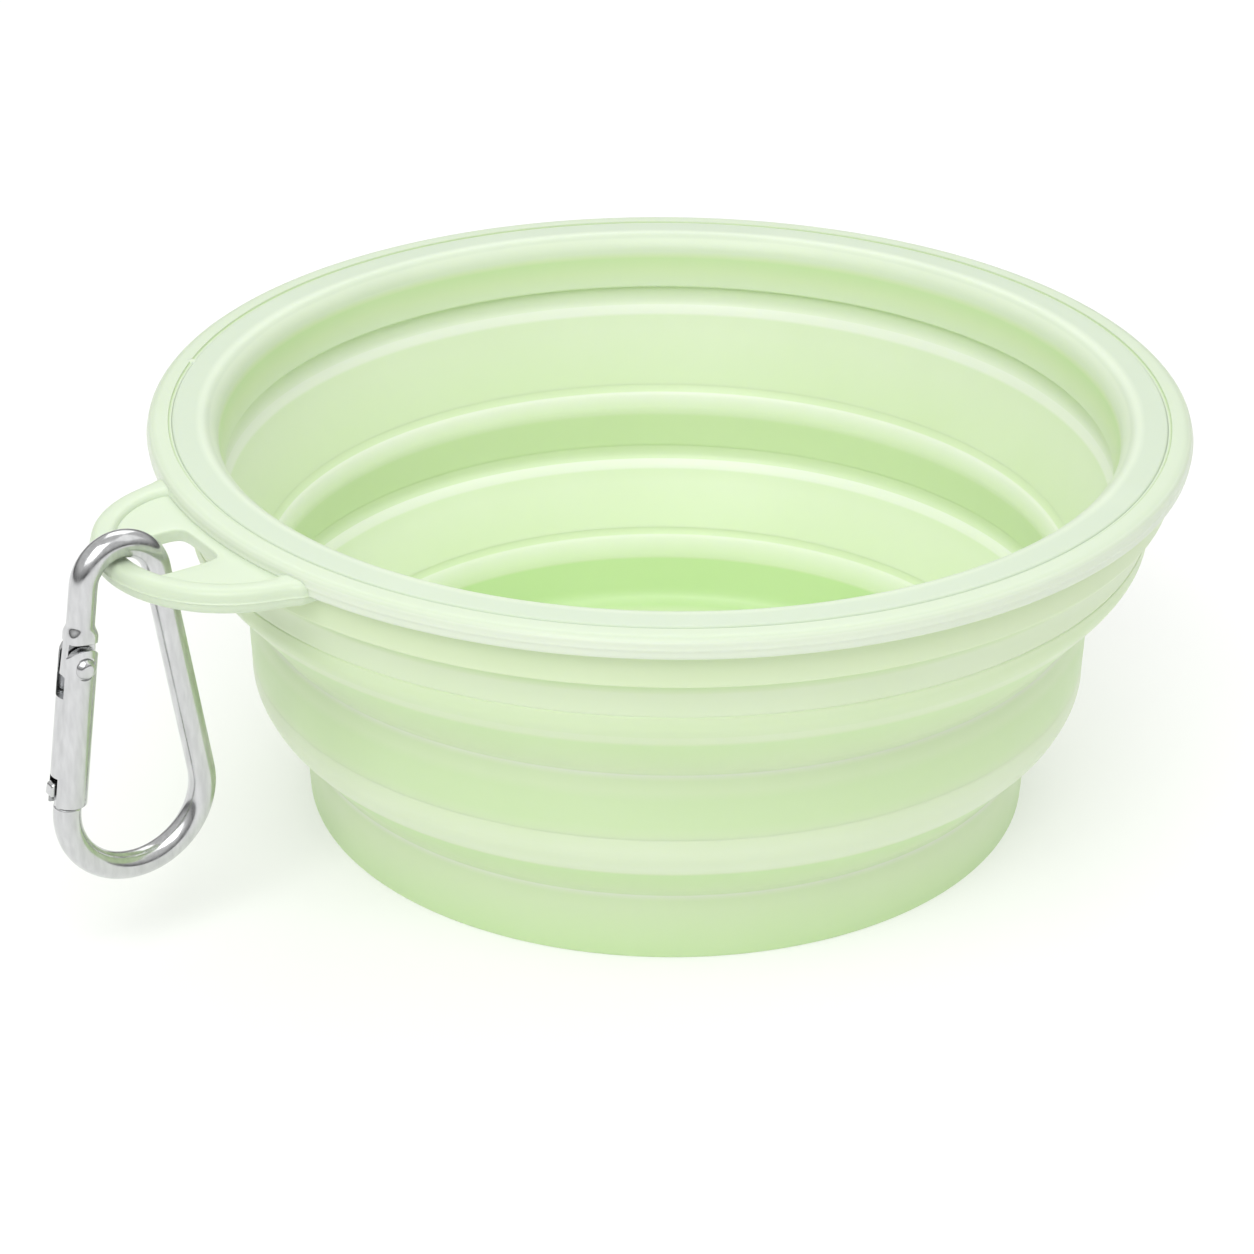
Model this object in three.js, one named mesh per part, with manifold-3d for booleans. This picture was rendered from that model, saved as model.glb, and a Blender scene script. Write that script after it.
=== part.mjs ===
// Collapsible pet bowl: a soft moulding that folds flat at two webs, a hard rim ring with a hanging tab,
// and a small spring-gate carabiner. Millimetres, +Z up, origin under the middle of the base, tab along -X.

import * as THREE from 'three';
import { mergeVertices } from 'three/addons/utils/BufferGeometryUtils.js';
import Module from 'manifold-3d';

const wasm = await Module();
wasm.setup();

// Clearances
const SEAT_GAP = 0.3; // between pieces that seat on each other
const PIN_GAP = 0.25; // round the rivet, the plunger and the spring

// Rim ring, hard plastic
const RIM_RADIUS = 65; // widest radius of the whole bowl
const RING_WIDTH = 3; // seen on top, from the outer edge to the seam
const RING_HEIGHT = 2.6;
const RING_TOP_ROUND = 1.4;
const RING_FOOT_ROUND = 0.8;
const RING_RIB_DEPTH = 1.6; // rib that the collar's groove grips
const RING_RIB_HEIGHT = 1;

// Hanging tab, part of the rim ring
const TAB_REACH = 13.6; // beyond the rim
const TAB_ROOT_INSET = 2; // the half oval's centre line lies this far inside the rim's edge
const TAB_HALF_WIDTH = 16.6;
const TAB_THICKNESS = 3; // over the border bead
const TAB_FIELD_THICKNESS = 1.6;
const TAB_DROP = 0.8; // the border bead lies this far below the rim's top
const BORDER_WIDTH = 3;
const BORDER_ROUND = 1.2;
const SLOT_WIDTH = 9.6;
const SLOT_ROOT = 1.5; // land between the rim's edge and the slot
const SLOT_CORNER = 2.2;

// Collar, the soft moulding's top: lip, undercut, neck, cove and rolled lower edge
const LIP_WIDTH = 5.3; // from the seam to the inner wall
const LIP_ROUND = 2.6;
const LIP_WALL_HEIGHT = 7.6; // rim's top to the undercut
const UNDERCUT_DEPTH = 0.8;
const UNDERCUT_HEIGHT = 1.5;
const NECK_SETBACK = 2.2; // neck inside the rim's edge
const NECK_HEIGHT = 4.5;
const NECK_STEP = 1.1;
const COVE_HEIGHT = 5.1;
const COVE_TAPER = 1.4;
const COVE_HOLLOW = 0.5;
const COLLAR_ROLL_HEIGHT = 3.7;
const COLLAR_ROLL = 1.3;

// Fold webs, measured on the outside, with their depth along Z at each end
const UPPER_WEB_RUN = 6.1;
const UPPER_WEB_RISE = 7.9;
const UPPER_WEB_TOP_DEPTH = 4.6;
const UPPER_WEB_FOOT_DEPTH = 3.6;
const LOWER_WEB_RUN = 5.1;
const LOWER_WEB_RISE = 6.4;
const LOWER_WEB_TOP_DEPTH = 5.4;
const LOWER_WEB_FOOT_DEPTH = 3.7;

// Middle band
const BAND_HEIGHT = 8.6;
const BAND_BULGE = 0.4;
const BAND_WALL = 2.2;
const BAND_FOOT_WALL = 1.4;
const BAND_CREASE = 1.1; // the inner crease lies this far inside the band's outer top edge
const BAND_ROLL_HEIGHT = 5;
const BAND_ROLL = 1.3;

// Base cup
const BASE_WALL_HEIGHT = 9;
const BASE_WALL = 1.9;
const BASE_CREASE = 0.2; // the inner crease lies this far inside the base wall's outer top edge
const BASE_DRAFT = 0.5;
const BASE_EDGE_ROUND = 1.6;
const FLOOR_THICKNESS = 2;
const FLOOR_ROUND = 2.4;

// Carabiner, bent wire with a sprung gate
const WIRE_DIAMETER = 3.3;
const TOP_BEND_RADIUS = 4.7; // to the wire's centre line
const BOTTOM_BEND_RADIUS = 8.9;
const BEND_SPACING = 28.4;
const PIVOT_DISTANCE = 9.4; // along the gate side, from the top bend to the rivet
const SHOULDER_LENGTH = 2;
const SHOULDER_WIDTH = 3.6;
const TANG_THICKNESS = 1.4;
const TANG_WIDTH = 2.4;
const TANG_TOE = 1.6; // from the rivet to the tang's square end
const NOSE_STUB = 0.5; // straight wire between the bottom bend and the gate
const NOSE_THICKNESS = 1.3;
const NOSE_WIDTH = 2.2;
const NOSE_LENGTH = 3.4;
const GATE_DIAMETER = 4.5;
const GATE_HEAD = 2.3; // from the rivet to the gate's round top end
const LATCH_ROOM = 0.6; // above the nose, for the arc it takes as the gate opens
const BORE_DIAMETER = 2.6;
const BORE_DEPTH = 8.8;
const RIVET_DIAMETER = 1.6;
const RIVET_HEAD_DIAMETER = 2.6;
const RIVET_HEAD_HEIGHT = 0.5;
const PLUNGER_LENGTH = 2.6;
const SPRING_WIRE = 0.4;
const SPRING_TURNS = 6;

// Facets
const ROUND_SEGMENTS = 64;
const CURVE_STEPS = 4;
const TAB_SEGMENTS = 52;
const WIRE_SIDES = 12;
const WIRE_STEPS = 56;
const SPRING_SIDES = 6;
const SPRING_STEPS = 8; // steps in each turn

// Heights, from the floor up
const bandFootZ = BASE_WALL_HEIGHT + LOWER_WEB_RISE;
const bandLineZ = bandFootZ + BAND_ROLL_HEIGHT;
const bandTopZ = bandLineZ + BAND_HEIGHT;
const collarFootZ = bandTopZ + UPPER_WEB_RISE;
const collarLineZ = collarFootZ + COLLAR_ROLL_HEIGHT;
const neckFootZ = collarLineZ + COVE_HEIGHT;
const ringFootZ = neckFootZ + NECK_HEIGHT;
const rimTopZ = ringFootZ + RING_HEIGHT;

// Radii, from the rim inwards
const seamRadius = RIM_RADIUS - RING_WIDTH;
const lipInnerRadius = seamRadius - SEAT_GAP - LIP_WIDTH;
const neckRadius = RIM_RADIUS - NECK_SETBACK;
const coveRadius = neckRadius - NECK_STEP;
const collarLineRadius = coveRadius - COVE_TAPER;
const collarFootRadius = collarLineRadius - COLLAR_ROLL;
const bandTopRadius = collarFootRadius - UPPER_WEB_RUN;
const bandRadius = bandTopRadius + BAND_BULGE;
const bandFootRadius = bandRadius - BAND_ROLL;
const baseTopRadius = bandFootRadius - LOWER_WEB_RUN;
const baseFootRadius = baseTopRadius - BASE_DRAFT;

// Ends of the two webs, in radius and height, inside and outside of the wall
const collarFoot = {
  outer: new THREE.Vector2(collarFootRadius, collarFootZ),
  inner: new THREE.Vector2(lipInnerRadius, collarFootZ + UPPER_WEB_TOP_DEPTH),
};
const bandTop = {
  outer: new THREE.Vector2(bandTopRadius, bandTopZ),
  inner: new THREE.Vector2(bandTopRadius - BAND_CREASE, bandTopZ + UPPER_WEB_FOOT_DEPTH),
};
const bandFoot = {
  outer: new THREE.Vector2(bandFootRadius, bandFootZ),
  inner: new THREE.Vector2(bandRadius - BAND_FOOT_WALL, bandFootZ + LOWER_WEB_TOP_DEPTH),
};
const baseTop = {
  outer: new THREE.Vector2(baseTopRadius, BASE_WALL_HEIGHT),
  inner: new THREE.Vector2(baseTopRadius - BASE_CREASE, BASE_WALL_HEIGHT + LOWER_WEB_FOOT_DEPTH),
};

// Turns an outline, in radius and height with its outer side going up, into a solid of revolution.
function revolve(outline) {
  const points = outline.getPoints(CURVE_STEPS);
  if (points[0].x > 0) points.push(points[0].clone());
  return new THREE.LatheGeometry(points, ROUND_SEGMENTS).rotateX(Math.PI / 2);
}

// Makes a closed geometry into a solid for joining and cutting.
function toSolid(geometry) {
  const bare = geometry.clone();
  bare.deleteAttribute('normal');
  bare.deleteAttribute('uv');
  const merged = mergeVertices(bare);
  return new wasm.Manifold(new wasm.Mesh({
    numProp: 3,
    vertProperties: new Float32Array(merged.attributes.position.array),
    triVerts: new Uint32Array(merged.index.array),
  }));
}

// Gives a joined or cut solid back as a geometry.
function toGeometry(solid) {
  const mesh = solid.getMesh();
  const geometry = new THREE.BufferGeometry();
  geometry.setAttribute('position', new THREE.BufferAttribute(mesh.vertProperties, 3));
  geometry.setIndex(new THREE.BufferAttribute(mesh.triVerts, 1));
  geometry.computeVertexNormals();
  return geometry;
}

// A round bar along Y.
function barAlongY(radius, length, sides = 24) {
  return new THREE.CylinderGeometry(radius, radius, length, sides);
}

// A round bar along Z between two heights.
function barAlongZ(radius, low, high, sides = 20) {
  return new THREE.CylinderGeometry(radius, radius, high - low, sides)
    .rotateX(Math.PI / 2)
    .translate(0, 0, (low + high) / 2);
}

// A block between two values on each axis.
function block([x0, x1], [y0, y1], [z0, z1]) {
  return new THREE.BoxGeometry(x1 - x0, y1 - y0, z1 - z0)
    .translate((x0 + x1) / 2, (y0 + y1) / 2, (z0 + z1) / 2);
}

// Rim ring: rounded outer edge, and a rib on the inside that the collar's groove grips
const ribLowZ = ringFootZ + (RING_HEIGHT - RING_RIB_HEIGHT) / 2;
const ribHighZ = ribLowZ + RING_RIB_HEIGHT;

function ringGeometry() {
  const outline = new THREE.Path()
    .moveTo(seamRadius, ringFootZ)
    .lineTo(RIM_RADIUS - RING_FOOT_ROUND, ringFootZ)
    .quadraticCurveTo(RIM_RADIUS, ringFootZ, RIM_RADIUS, ringFootZ + RING_FOOT_ROUND)
    .lineTo(RIM_RADIUS, rimTopZ - RING_TOP_ROUND)
    .quadraticCurveTo(RIM_RADIUS, rimTopZ, RIM_RADIUS - RING_TOP_ROUND, rimTopZ)
    .lineTo(seamRadius, rimTopZ)
    .lineTo(seamRadius, ribHighZ)
    .lineTo(seamRadius - RING_RIB_DEPTH, ribHighZ)
    .lineTo(seamRadius - RING_RIB_DEPTH, ribLowZ)
    .lineTo(seamRadius, ribLowZ);
  return revolve(outline);
}

// Hanging tab: a half oval with a raised border bead, a thinner field and a slot for the carabiner
const tabTopZ = rimTopZ - TAB_DROP;
const tabMiddleZ = tabTopZ - TAB_THICKNESS / 2;
const tabCentre = RIM_RADIUS - TAB_ROOT_INSET;
const tabLength = TAB_ROOT_INSET + TAB_REACH;
const barRadius = tabCentre + tabLength - BORDER_WIDTH / 2; // middle of the bar that the carabiner hangs on

function oval(inset) {
  return new THREE.Shape()
    .absellipse(-tabCentre, 0, tabLength - inset, TAB_HALF_WIDTH - inset, 0, Math.PI * 2, false, 0);
}

function tabSolid() {
  const beadShape = oval(0);
  beadShape.holes.push(oval(BORDER_WIDTH));
  const bead = new THREE.ExtrudeGeometry(beadShape, {
    depth: TAB_THICKNESS - 2 * BORDER_ROUND,
    bevelThickness: BORDER_ROUND,
    bevelSize: BORDER_ROUND,
    bevelOffset: -BORDER_ROUND,
    bevelSegments: 3,
    curveSegments: TAB_SEGMENTS / 2,
  }).translate(0, 0, tabMiddleZ - TAB_THICKNESS / 2 + BORDER_ROUND);
  const field = new THREE.ExtrudeGeometry(oval(BORDER_WIDTH / 2), {
    depth: TAB_FIELD_THICKNESS,
    bevelEnabled: false,
    curveSegments: TAB_SEGMENTS / 2,
  }).translate(0, 0, tabMiddleZ - TAB_FIELD_THICKNESS / 2);

  const slotInner = -(RIM_RADIUS + SLOT_ROOT);
  const slotOuter = -barRadius;
  const half = SLOT_WIDTH / 2;
  const slotShape = new THREE.Shape()
    .moveTo(slotOuter, half)
    .lineTo(slotOuter, -half)
    .lineTo(slotInner - SLOT_CORNER, -half)
    .quadraticCurveTo(slotInner, -half, slotInner, -half + SLOT_CORNER)
    .lineTo(slotInner, half - SLOT_CORNER)
    .quadraticCurveTo(slotInner, half, slotInner - SLOT_CORNER, half);
  const slot = new THREE.ExtrudeGeometry(slotShape, {
    depth: 2 * TAB_THICKNESS,
    bevelEnabled: false,
    curveSegments: CURVE_STEPS,
  }).translate(0, 0, tabMiddleZ - TAB_THICKNESS);

  const inside = barAlongZ(
    RIM_RADIUS - RING_WIDTH / 2, tabMiddleZ - 2 * TAB_THICKNESS, tabMiddleZ + 2 * TAB_THICKNESS, ROUND_SEGMENTS);
  return toSolid(field).subtract(toSolid(slot)).add(toSolid(bead)).subtract(toSolid(inside));
}

// Collar: lip, undercut, neck, cove and the rolled lower edge where the upper web hangs
function collarGeometry() {
  const seatRadius = seamRadius - SEAT_GAP;
  const grooveRadius = seatRadius - RING_RIB_DEPTH;
  const seatZ = ringFootZ - SEAT_GAP;
  const undercutTopZ = rimTopZ - LIP_WALL_HEIGHT;
  const undercutRadius = lipInnerRadius + UNDERCUT_DEPTH;
  const undercutFootZ = undercutTopZ - UNDERCUT_HEIGHT;
  const outline = new THREE.Path()
    .moveTo(collarFoot.outer.x, collarFoot.outer.y)
    .quadraticCurveTo(collarLineRadius, collarFootZ, collarLineRadius, collarLineZ)
    .quadraticCurveTo(
      (collarLineRadius + coveRadius) / 2 - COVE_HOLLOW, (collarLineZ + neckFootZ) / 2, coveRadius, neckFootZ)
    .lineTo(neckRadius, neckFootZ)
    .lineTo(neckRadius, seatZ)
    .lineTo(seatRadius, seatZ)
    .lineTo(seatRadius, ribLowZ - SEAT_GAP)
    .lineTo(grooveRadius, ribLowZ - SEAT_GAP)
    .lineTo(grooveRadius, ribHighZ + SEAT_GAP)
    .lineTo(seatRadius, ribHighZ + SEAT_GAP)
    .lineTo(seatRadius, rimTopZ)
    .lineTo(lipInnerRadius + LIP_ROUND, rimTopZ)
    .quadraticCurveTo(lipInnerRadius, rimTopZ, lipInnerRadius, rimTopZ - LIP_ROUND)
    .lineTo(lipInnerRadius, undercutTopZ)
    .lineTo(undercutRadius, undercutTopZ - UNDERCUT_DEPTH)
    .lineTo(undercutRadius, undercutFootZ)
    .lineTo(collarFoot.inner.x, collarFoot.inner.y);
  return revolve(outline);
}

// A fold web: the slanted ring between an upper end and a lower end, clear of both
function webGeometry(upper, lower) {
  const along = (from, to) => from.clone().add(to.clone().sub(from).setLength(SEAT_GAP / Math.SQRT1_2));
  const upperOuter = along(upper.outer, lower.outer);
  const upperInner = along(upper.inner, lower.inner);
  const lowerOuter = along(lower.outer, upper.outer);
  const lowerInner = along(lower.inner, upper.inner);
  const outline = new THREE.Path()
    .moveTo(lowerOuter.x, lowerOuter.y)
    .lineTo(upperOuter.x, upperOuter.y)
    .lineTo(upperInner.x, upperInner.y)
    .lineTo(lowerInner.x, lowerInner.y);
  return revolve(outline);
}

// Middle band: slightly bulged wall with a rolled foot outside, and a bead at its top inside
function bandGeometry() {
  const innerRadius = bandRadius - BAND_WALL;
  const outline = new THREE.Path()
    .moveTo(bandFoot.outer.x, bandFoot.outer.y)
    .quadraticCurveTo(bandRadius, bandFootZ, bandRadius, bandLineZ)
    .quadraticCurveTo(bandRadius + BAND_BULGE, (bandLineZ + bandTopZ) / 2, bandTop.outer.x, bandTop.outer.y)
    .lineTo(bandTop.inner.x, bandTop.inner.y)
    .quadraticCurveTo(innerRadius, bandTop.inner.y, innerRadius, bandTop.outer.y)
    .lineTo(bandFoot.inner.x, bandFoot.inner.y);
  return revolve(outline);
}

// Base cup: flat foot, drafted wall, and a bead at the top inside
function baseGeometry() {
  const innerRadius = baseTopRadius - BASE_WALL;
  const innerFootRadius = innerRadius - BASE_DRAFT;
  const outline = new THREE.Path()
    .moveTo(0, 0)
    .lineTo(baseFootRadius - BASE_EDGE_ROUND, 0)
    .quadraticCurveTo(baseFootRadius, 0, baseFootRadius, BASE_EDGE_ROUND)
    .lineTo(baseTop.outer.x, baseTop.outer.y)
    .lineTo(baseTop.inner.x, baseTop.inner.y)
    .quadraticCurveTo(innerRadius, baseTop.inner.y, innerRadius, BASE_WALL_HEIGHT)
    .lineTo(innerFootRadius, FLOOR_THICKNESS + FLOOR_ROUND)
    .quadraticCurveTo(innerFootRadius, FLOOR_THICKNESS, innerFootRadius - FLOOR_ROUND, FLOOR_THICKNESS)
    .lineTo(0, FLOOR_THICKNESS);
  return revolve(outline);
}

// Carabiner, in its own frame: origin in the middle of the tab's bar, X outwards to the gate, Z up
const wireRadius = WIRE_DIAMETER / 2;
const topBendZ = TAB_THICKNESS / 2 + SEAT_GAP + wireRadius - TOP_BEND_RADIUS;
const bottomBendZ = topBendZ - BEND_SPACING;
const slant = Math.asin((BOTTOM_BEND_RADIUS - TOP_BEND_RADIUS) / BEND_SPACING);
const sideLength = BEND_SPACING * Math.cos(slant);
const gateSideTop = new THREE.Vector3(
  TOP_BEND_RADIUS * Math.cos(slant), 0, topBendZ + TOP_BEND_RADIUS * Math.sin(slant));
const gateDirection = new THREE.Vector3(Math.sin(slant), 0, -Math.cos(slant));
const pivot = gateSideTop.clone().addScaledVector(gateDirection, PIVOT_DISTANCE);
const gateReach = sideLength - PIVOT_DISTANCE - NOSE_STUB - SEAT_GAP; // from the rivet to the gate's lower end
const shoulderZ = GATE_HEAD + SEAT_GAP; // the hook's shoulder above the rivet, along the gate

// A bend of the wire, about a centre in the XZ plane, from one angle to another
class Bend extends THREE.Curve {
  constructor(centreZ, radius, from, to) {
    super();
    Object.assign(this, { centreZ, radius, from, to });
  }

  getPoint(t, target = new THREE.Vector3()) {
    const angle = this.from + (this.to - this.from) * t;
    return target.set(this.radius * Math.cos(angle), 0, this.centreZ + this.radius * Math.sin(angle));
  }
}

// The hook's centre line: nose stub, bottom bend, spine, top bend, hinge leg
function hookLine() {
  const bottom = new Bend(bottomBendZ, BOTTOM_BEND_RADIUS, slant, -Math.PI - slant);
  const top = new Bend(topBendZ, TOP_BEND_RADIUS, Math.PI - slant, slant);
  const nose = pivot.clone().addScaledVector(gateDirection, gateReach + SEAT_GAP);
  const hinge = pivot.clone().addScaledVector(gateDirection, -shoulderZ);
  const line = new THREE.CurvePath();
  line.add(new THREE.LineCurve3(nose, bottom.getPoint(0)));
  line.add(bottom);
  line.add(new THREE.LineCurve3(bottom.getPoint(1), top.getPoint(0)));
  line.add(top);
  line.add(new THREE.LineCurve3(top.getPoint(1), hinge));
  return line;
}

// Moves a geometry from the gate's frame, rivet at the origin and Z up the gate, to the carabiner's
const gatePlace = new THREE.Matrix4().makeRotationY(-slant).setPosition(pivot);

function hookGeometry() {
  const section = new THREE.Shape().absarc(0, 0, wireRadius, 0, Math.PI * 2, false);
  const wire = new THREE.ExtrudeGeometry(section, {
    extrudePath: hookLine(),
    steps: WIRE_STEPS,
    curveSegments: WIRE_SIDES / 2,
  });
  const halfShoulder = SHOULDER_WIDTH / 2;
  const halfTang = TANG_THICKNESS / 2;
  const halfNose = NOSE_THICKNESS / 2;
  const noseRoot = -gateReach - SEAT_GAP;
  const shoulder = block(
    [-halfShoulder, halfShoulder], [-wireRadius, wireRadius], [shoulderZ, shoulderZ + SHOULDER_LENGTH]);
  const tang = block(
    [-TANG_WIDTH / 2, TANG_WIDTH / 2], [-halfTang, halfTang], [-TANG_TOE, shoulderZ + SHOULDER_LENGTH / 2]);
  const nose = block(
    [-NOSE_WIDTH / 2, NOSE_WIDTH / 2], [-halfNose, halfNose], [noseRoot - wireRadius / 2, noseRoot + NOSE_LENGTH]);
  const rivetHole = barAlongY(RIVET_DIAMETER / 2 + PIN_GAP, 2 * TANG_THICKNESS);
  const placed = (geometry) => toSolid(geometry.applyMatrix4(gatePlace));
  const solid = toSolid(wire)
    .add(placed(shoulder))
    .add(placed(tang))
    .add(placed(nose))
    .subtract(placed(rivetHole));
  return toGeometry(solid);
}

// Gate: a round-headed tube with a slot for the tang, a bore for the spring and a latch slot for the nose
const tangSlotZ = -(Math.hypot(TANG_TOE, TANG_WIDTH / 2) + SEAT_GAP); // floor of the slot, below the rivet
const boreFloorZ = tangSlotZ - BORE_DEPTH;

function gateGeometry() {
  const radius = GATE_DIAMETER / 2;
  const tube = barAlongZ(radius, -gateReach, 0);
  const head = toSolid(barAlongZ(radius, -radius, GATE_HEAD))
    .intersect(toSolid(barAlongY(GATE_HEAD, 2 * GATE_DIAMETER)));
  const halfTangSlot = TANG_THICKNESS / 2 + SEAT_GAP;
  const tangSlot = block(
    [-GATE_DIAMETER, GATE_DIAMETER], [-halfTangSlot, halfTangSlot], [tangSlotZ, 2 * GATE_HEAD]);
  const halfLatch = NOSE_THICKNESS / 2 + SEAT_GAP;
  const latch = block(
    [-(NOSE_WIDTH / 2 + SEAT_GAP), GATE_DIAMETER], [-halfLatch, halfLatch],
    [-gateReach - GATE_HEAD, -gateReach - SEAT_GAP + NOSE_LENGTH + LATCH_ROOM]);
  const bore = barAlongZ(BORE_DIAMETER / 2, boreFloorZ, tangSlotZ + SEAT_GAP, 16);
  const rivetHole = barAlongY(RIVET_DIAMETER / 2 + PIN_GAP, 2 * GATE_DIAMETER);
  const solid = toSolid(tube)
    .add(head)
    .subtract(toSolid(tangSlot))
    .subtract(toSolid(latch))
    .subtract(toSolid(bore))
    .subtract(toSolid(rivetHole));
  return toGeometry(solid);
}

// Rivet along Y, with a head on each side of the gate
function rivetGeometry() {
  const seat = GATE_DIAMETER / 2 + SEAT_GAP;
  const radius = RIVET_DIAMETER / 2;
  const headRadius = RIVET_HEAD_DIAMETER / 2;
  const outline = new THREE.Path()
    .moveTo(0, -seat - RIVET_HEAD_HEIGHT)
    .quadraticCurveTo(headRadius, -seat - RIVET_HEAD_HEIGHT, headRadius, -seat)
    .lineTo(radius, -seat)
    .lineTo(radius, seat)
    .lineTo(headRadius, seat)
    .quadraticCurveTo(headRadius, seat + RIVET_HEAD_HEIGHT, 0, seat + RIVET_HEAD_HEIGHT);
  return new THREE.LatheGeometry(outline.getPoints(CURVE_STEPS), 16);
}

// Plunger: a pin with a domed tip that presses on the tang's toe
const plungerTipZ = -(TANG_TOE + SEAT_GAP);
const plungerFootZ = plungerTipZ - PLUNGER_LENGTH;
const plungerRadius = BORE_DIAMETER / 2 - PIN_GAP;

function plungerGeometry() {
  const outline = new THREE.Path()
    .moveTo(0, plungerFootZ)
    .lineTo(plungerRadius, plungerFootZ)
    .lineTo(plungerRadius, plungerTipZ - plungerRadius / 2)
    .quadraticCurveTo(plungerRadius, plungerTipZ, 0, plungerTipZ);
  return new THREE.LatheGeometry(outline.getPoints(CURVE_STEPS), 16).rotateX(Math.PI / 2);
}

// Spring: a helix between the bore's floor and the plunger
class Helix extends THREE.Curve {
  constructor(radius, low, high, turns) {
    super();
    Object.assign(this, { radius, low, high, turns });
  }

  getPoint(t, target = new THREE.Vector3()) {
    const angle = Math.PI * 2 * this.turns * t;
    const height = this.low + (this.high - this.low) * t;
    return target.set(this.radius * Math.cos(angle), this.radius * Math.sin(angle), height);
  }
}

function springGeometry() {
  const wire = SPRING_WIRE / 2;
  const low = boreFloorZ + SEAT_GAP + wire;
  const high = plungerFootZ - SEAT_GAP - wire;
  const helix = new Helix(plungerRadius - wire, low, high, SPRING_TURNS);
  const points = helix.getPoints(SPRING_TURNS * SPRING_STEPS);
  let leastGap = Infinity;
  for (let i = 0; i + SPRING_STEPS < points.length; i += 1) {
    leastGap = Math.min(leastGap, points[i].distanceTo(points[i + SPRING_STEPS]) - SPRING_WIRE);
  }
  console.log(`gate_spring: least gap between turns ${leastGap.toFixed(2)} mm`);
  return new THREE.ExtrudeGeometry(new THREE.Shape().absarc(0, 0, wire, 0, Math.PI * 2, false), {
    extrudePath: helix,
    steps: SPRING_TURNS * SPRING_STEPS,
    curveSegments: SPRING_SIDES / 2,
  });
}

// Finishes
const softGreen = new THREE.MeshStandardMaterial({ color: 0xcdeab2, roughness: 0.55, metalness: 0 });
const hardGreen = new THREE.MeshStandardMaterial({ color: 0xdcedc9, roughness: 0.45, metalness: 0 });
const brightMetal = new THREE.MeshStandardMaterial({ color: 0xc8cacc, roughness: 0.25, metalness: 1 });
const springSteel = new THREE.MeshStandardMaterial({ color: 0x9a9c9e, roughness: 0.35, metalness: 1 });

function piece(parent, name, geometry, material) {
  const mesh = new THREE.Mesh(geometry, material);
  mesh.name = name;
  parent.add(mesh);
}

const bowl = new THREE.Group();
piece(bowl, 'rim_ring', toGeometry(toSolid(ringGeometry()).add(tabSolid())), hardGreen);
piece(bowl, 'collar', collarGeometry(), softGreen);
piece(bowl, 'upper_fold_web', webGeometry(collarFoot, bandTop), softGreen);
piece(bowl, 'middle_band', bandGeometry(), softGreen);
piece(bowl, 'lower_fold_web', webGeometry(bandFoot, baseTop), softGreen);
piece(bowl, 'base_cup', baseGeometry(), softGreen);

// The carabiner hangs on the tab's outer bar, turned so that its gate faces outwards
const carabiner = new THREE.Group();
carabiner.position.set(-barRadius, 0, tabMiddleZ);
carabiner.rotation.z = Math.PI;
piece(carabiner, 'carabiner_hook', hookGeometry(), brightMetal);
bowl.add(carabiner);

// The gate's own frame: rivet at the origin, Z up the gate
const gate = new THREE.Group();
gate.applyMatrix4(gatePlace);
piece(gate, 'carabiner_gate', gateGeometry(), brightMetal);
piece(gate, 'gate_rivet', rivetGeometry(), brightMetal);
piece(gate, 'spring_plunger', plungerGeometry(), springSteel);
piece(gate, 'gate_spring', springGeometry(), springSteel);
carabiner.add(gate);

export default bowl;
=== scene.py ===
"""Collapsible pet bowl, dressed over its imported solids.

The bowl is a soft moulding that folds flat at two webs. A stiff rim ring with a hanging tab grips its lip,
and a small carabiner with a sprung gate hangs on the tab. Sizes are in millimetres, in the frame of the
solids, and are written into the meshes in metres.
"""

import logging
import math
from collections.abc import Callable
from dataclasses import dataclass, field
from enum import Enum

import bpy
import numpy as np
from mathutils import Matrix, Vector


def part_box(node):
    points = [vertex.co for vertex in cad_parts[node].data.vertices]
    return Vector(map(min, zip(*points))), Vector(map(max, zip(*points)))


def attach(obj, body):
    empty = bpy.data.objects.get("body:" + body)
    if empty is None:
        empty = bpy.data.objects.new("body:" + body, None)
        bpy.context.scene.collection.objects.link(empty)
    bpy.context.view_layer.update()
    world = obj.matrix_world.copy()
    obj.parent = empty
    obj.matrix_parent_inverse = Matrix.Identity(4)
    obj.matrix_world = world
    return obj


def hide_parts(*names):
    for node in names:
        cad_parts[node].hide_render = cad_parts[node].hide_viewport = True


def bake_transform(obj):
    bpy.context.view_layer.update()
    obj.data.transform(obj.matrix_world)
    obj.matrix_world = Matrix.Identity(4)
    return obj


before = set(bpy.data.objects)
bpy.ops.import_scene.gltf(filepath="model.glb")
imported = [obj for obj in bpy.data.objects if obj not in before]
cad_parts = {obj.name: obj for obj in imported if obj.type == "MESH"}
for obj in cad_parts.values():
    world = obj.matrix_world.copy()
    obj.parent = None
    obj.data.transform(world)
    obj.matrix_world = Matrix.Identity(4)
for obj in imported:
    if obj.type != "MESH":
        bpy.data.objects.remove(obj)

MM = 0.001
# Point attribute that carries each point's painted light and shade level.
PAINTED_LIGHT = "tone"
PLAIN_PAINTED_LIGHT = 0.5
SHARP_ANGLE = 42.0
NOISE_SPAN = (0.3, 0.7)
UP = np.array([0, 0, 1.0])
Z_TO_Y = np.array([[1.0, 0, 0], [0, 0, 1], [0, -1, 0]])
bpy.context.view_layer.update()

Colour = tuple[float, float, float]
Socket = bpy.types.NodeSocket

logging.basicConfig(level=logging.INFO, format="%(name)s: %(message)s")
log = logging.getLogger("pet_bowl")


class Slot(Enum):
    """The record's material slots."""

    RIM = "rim_plastic"
    BOWL = "bowl_rubber"
    METAL = "bright_aluminium"
    SPRING = "spring_steel"


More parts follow.
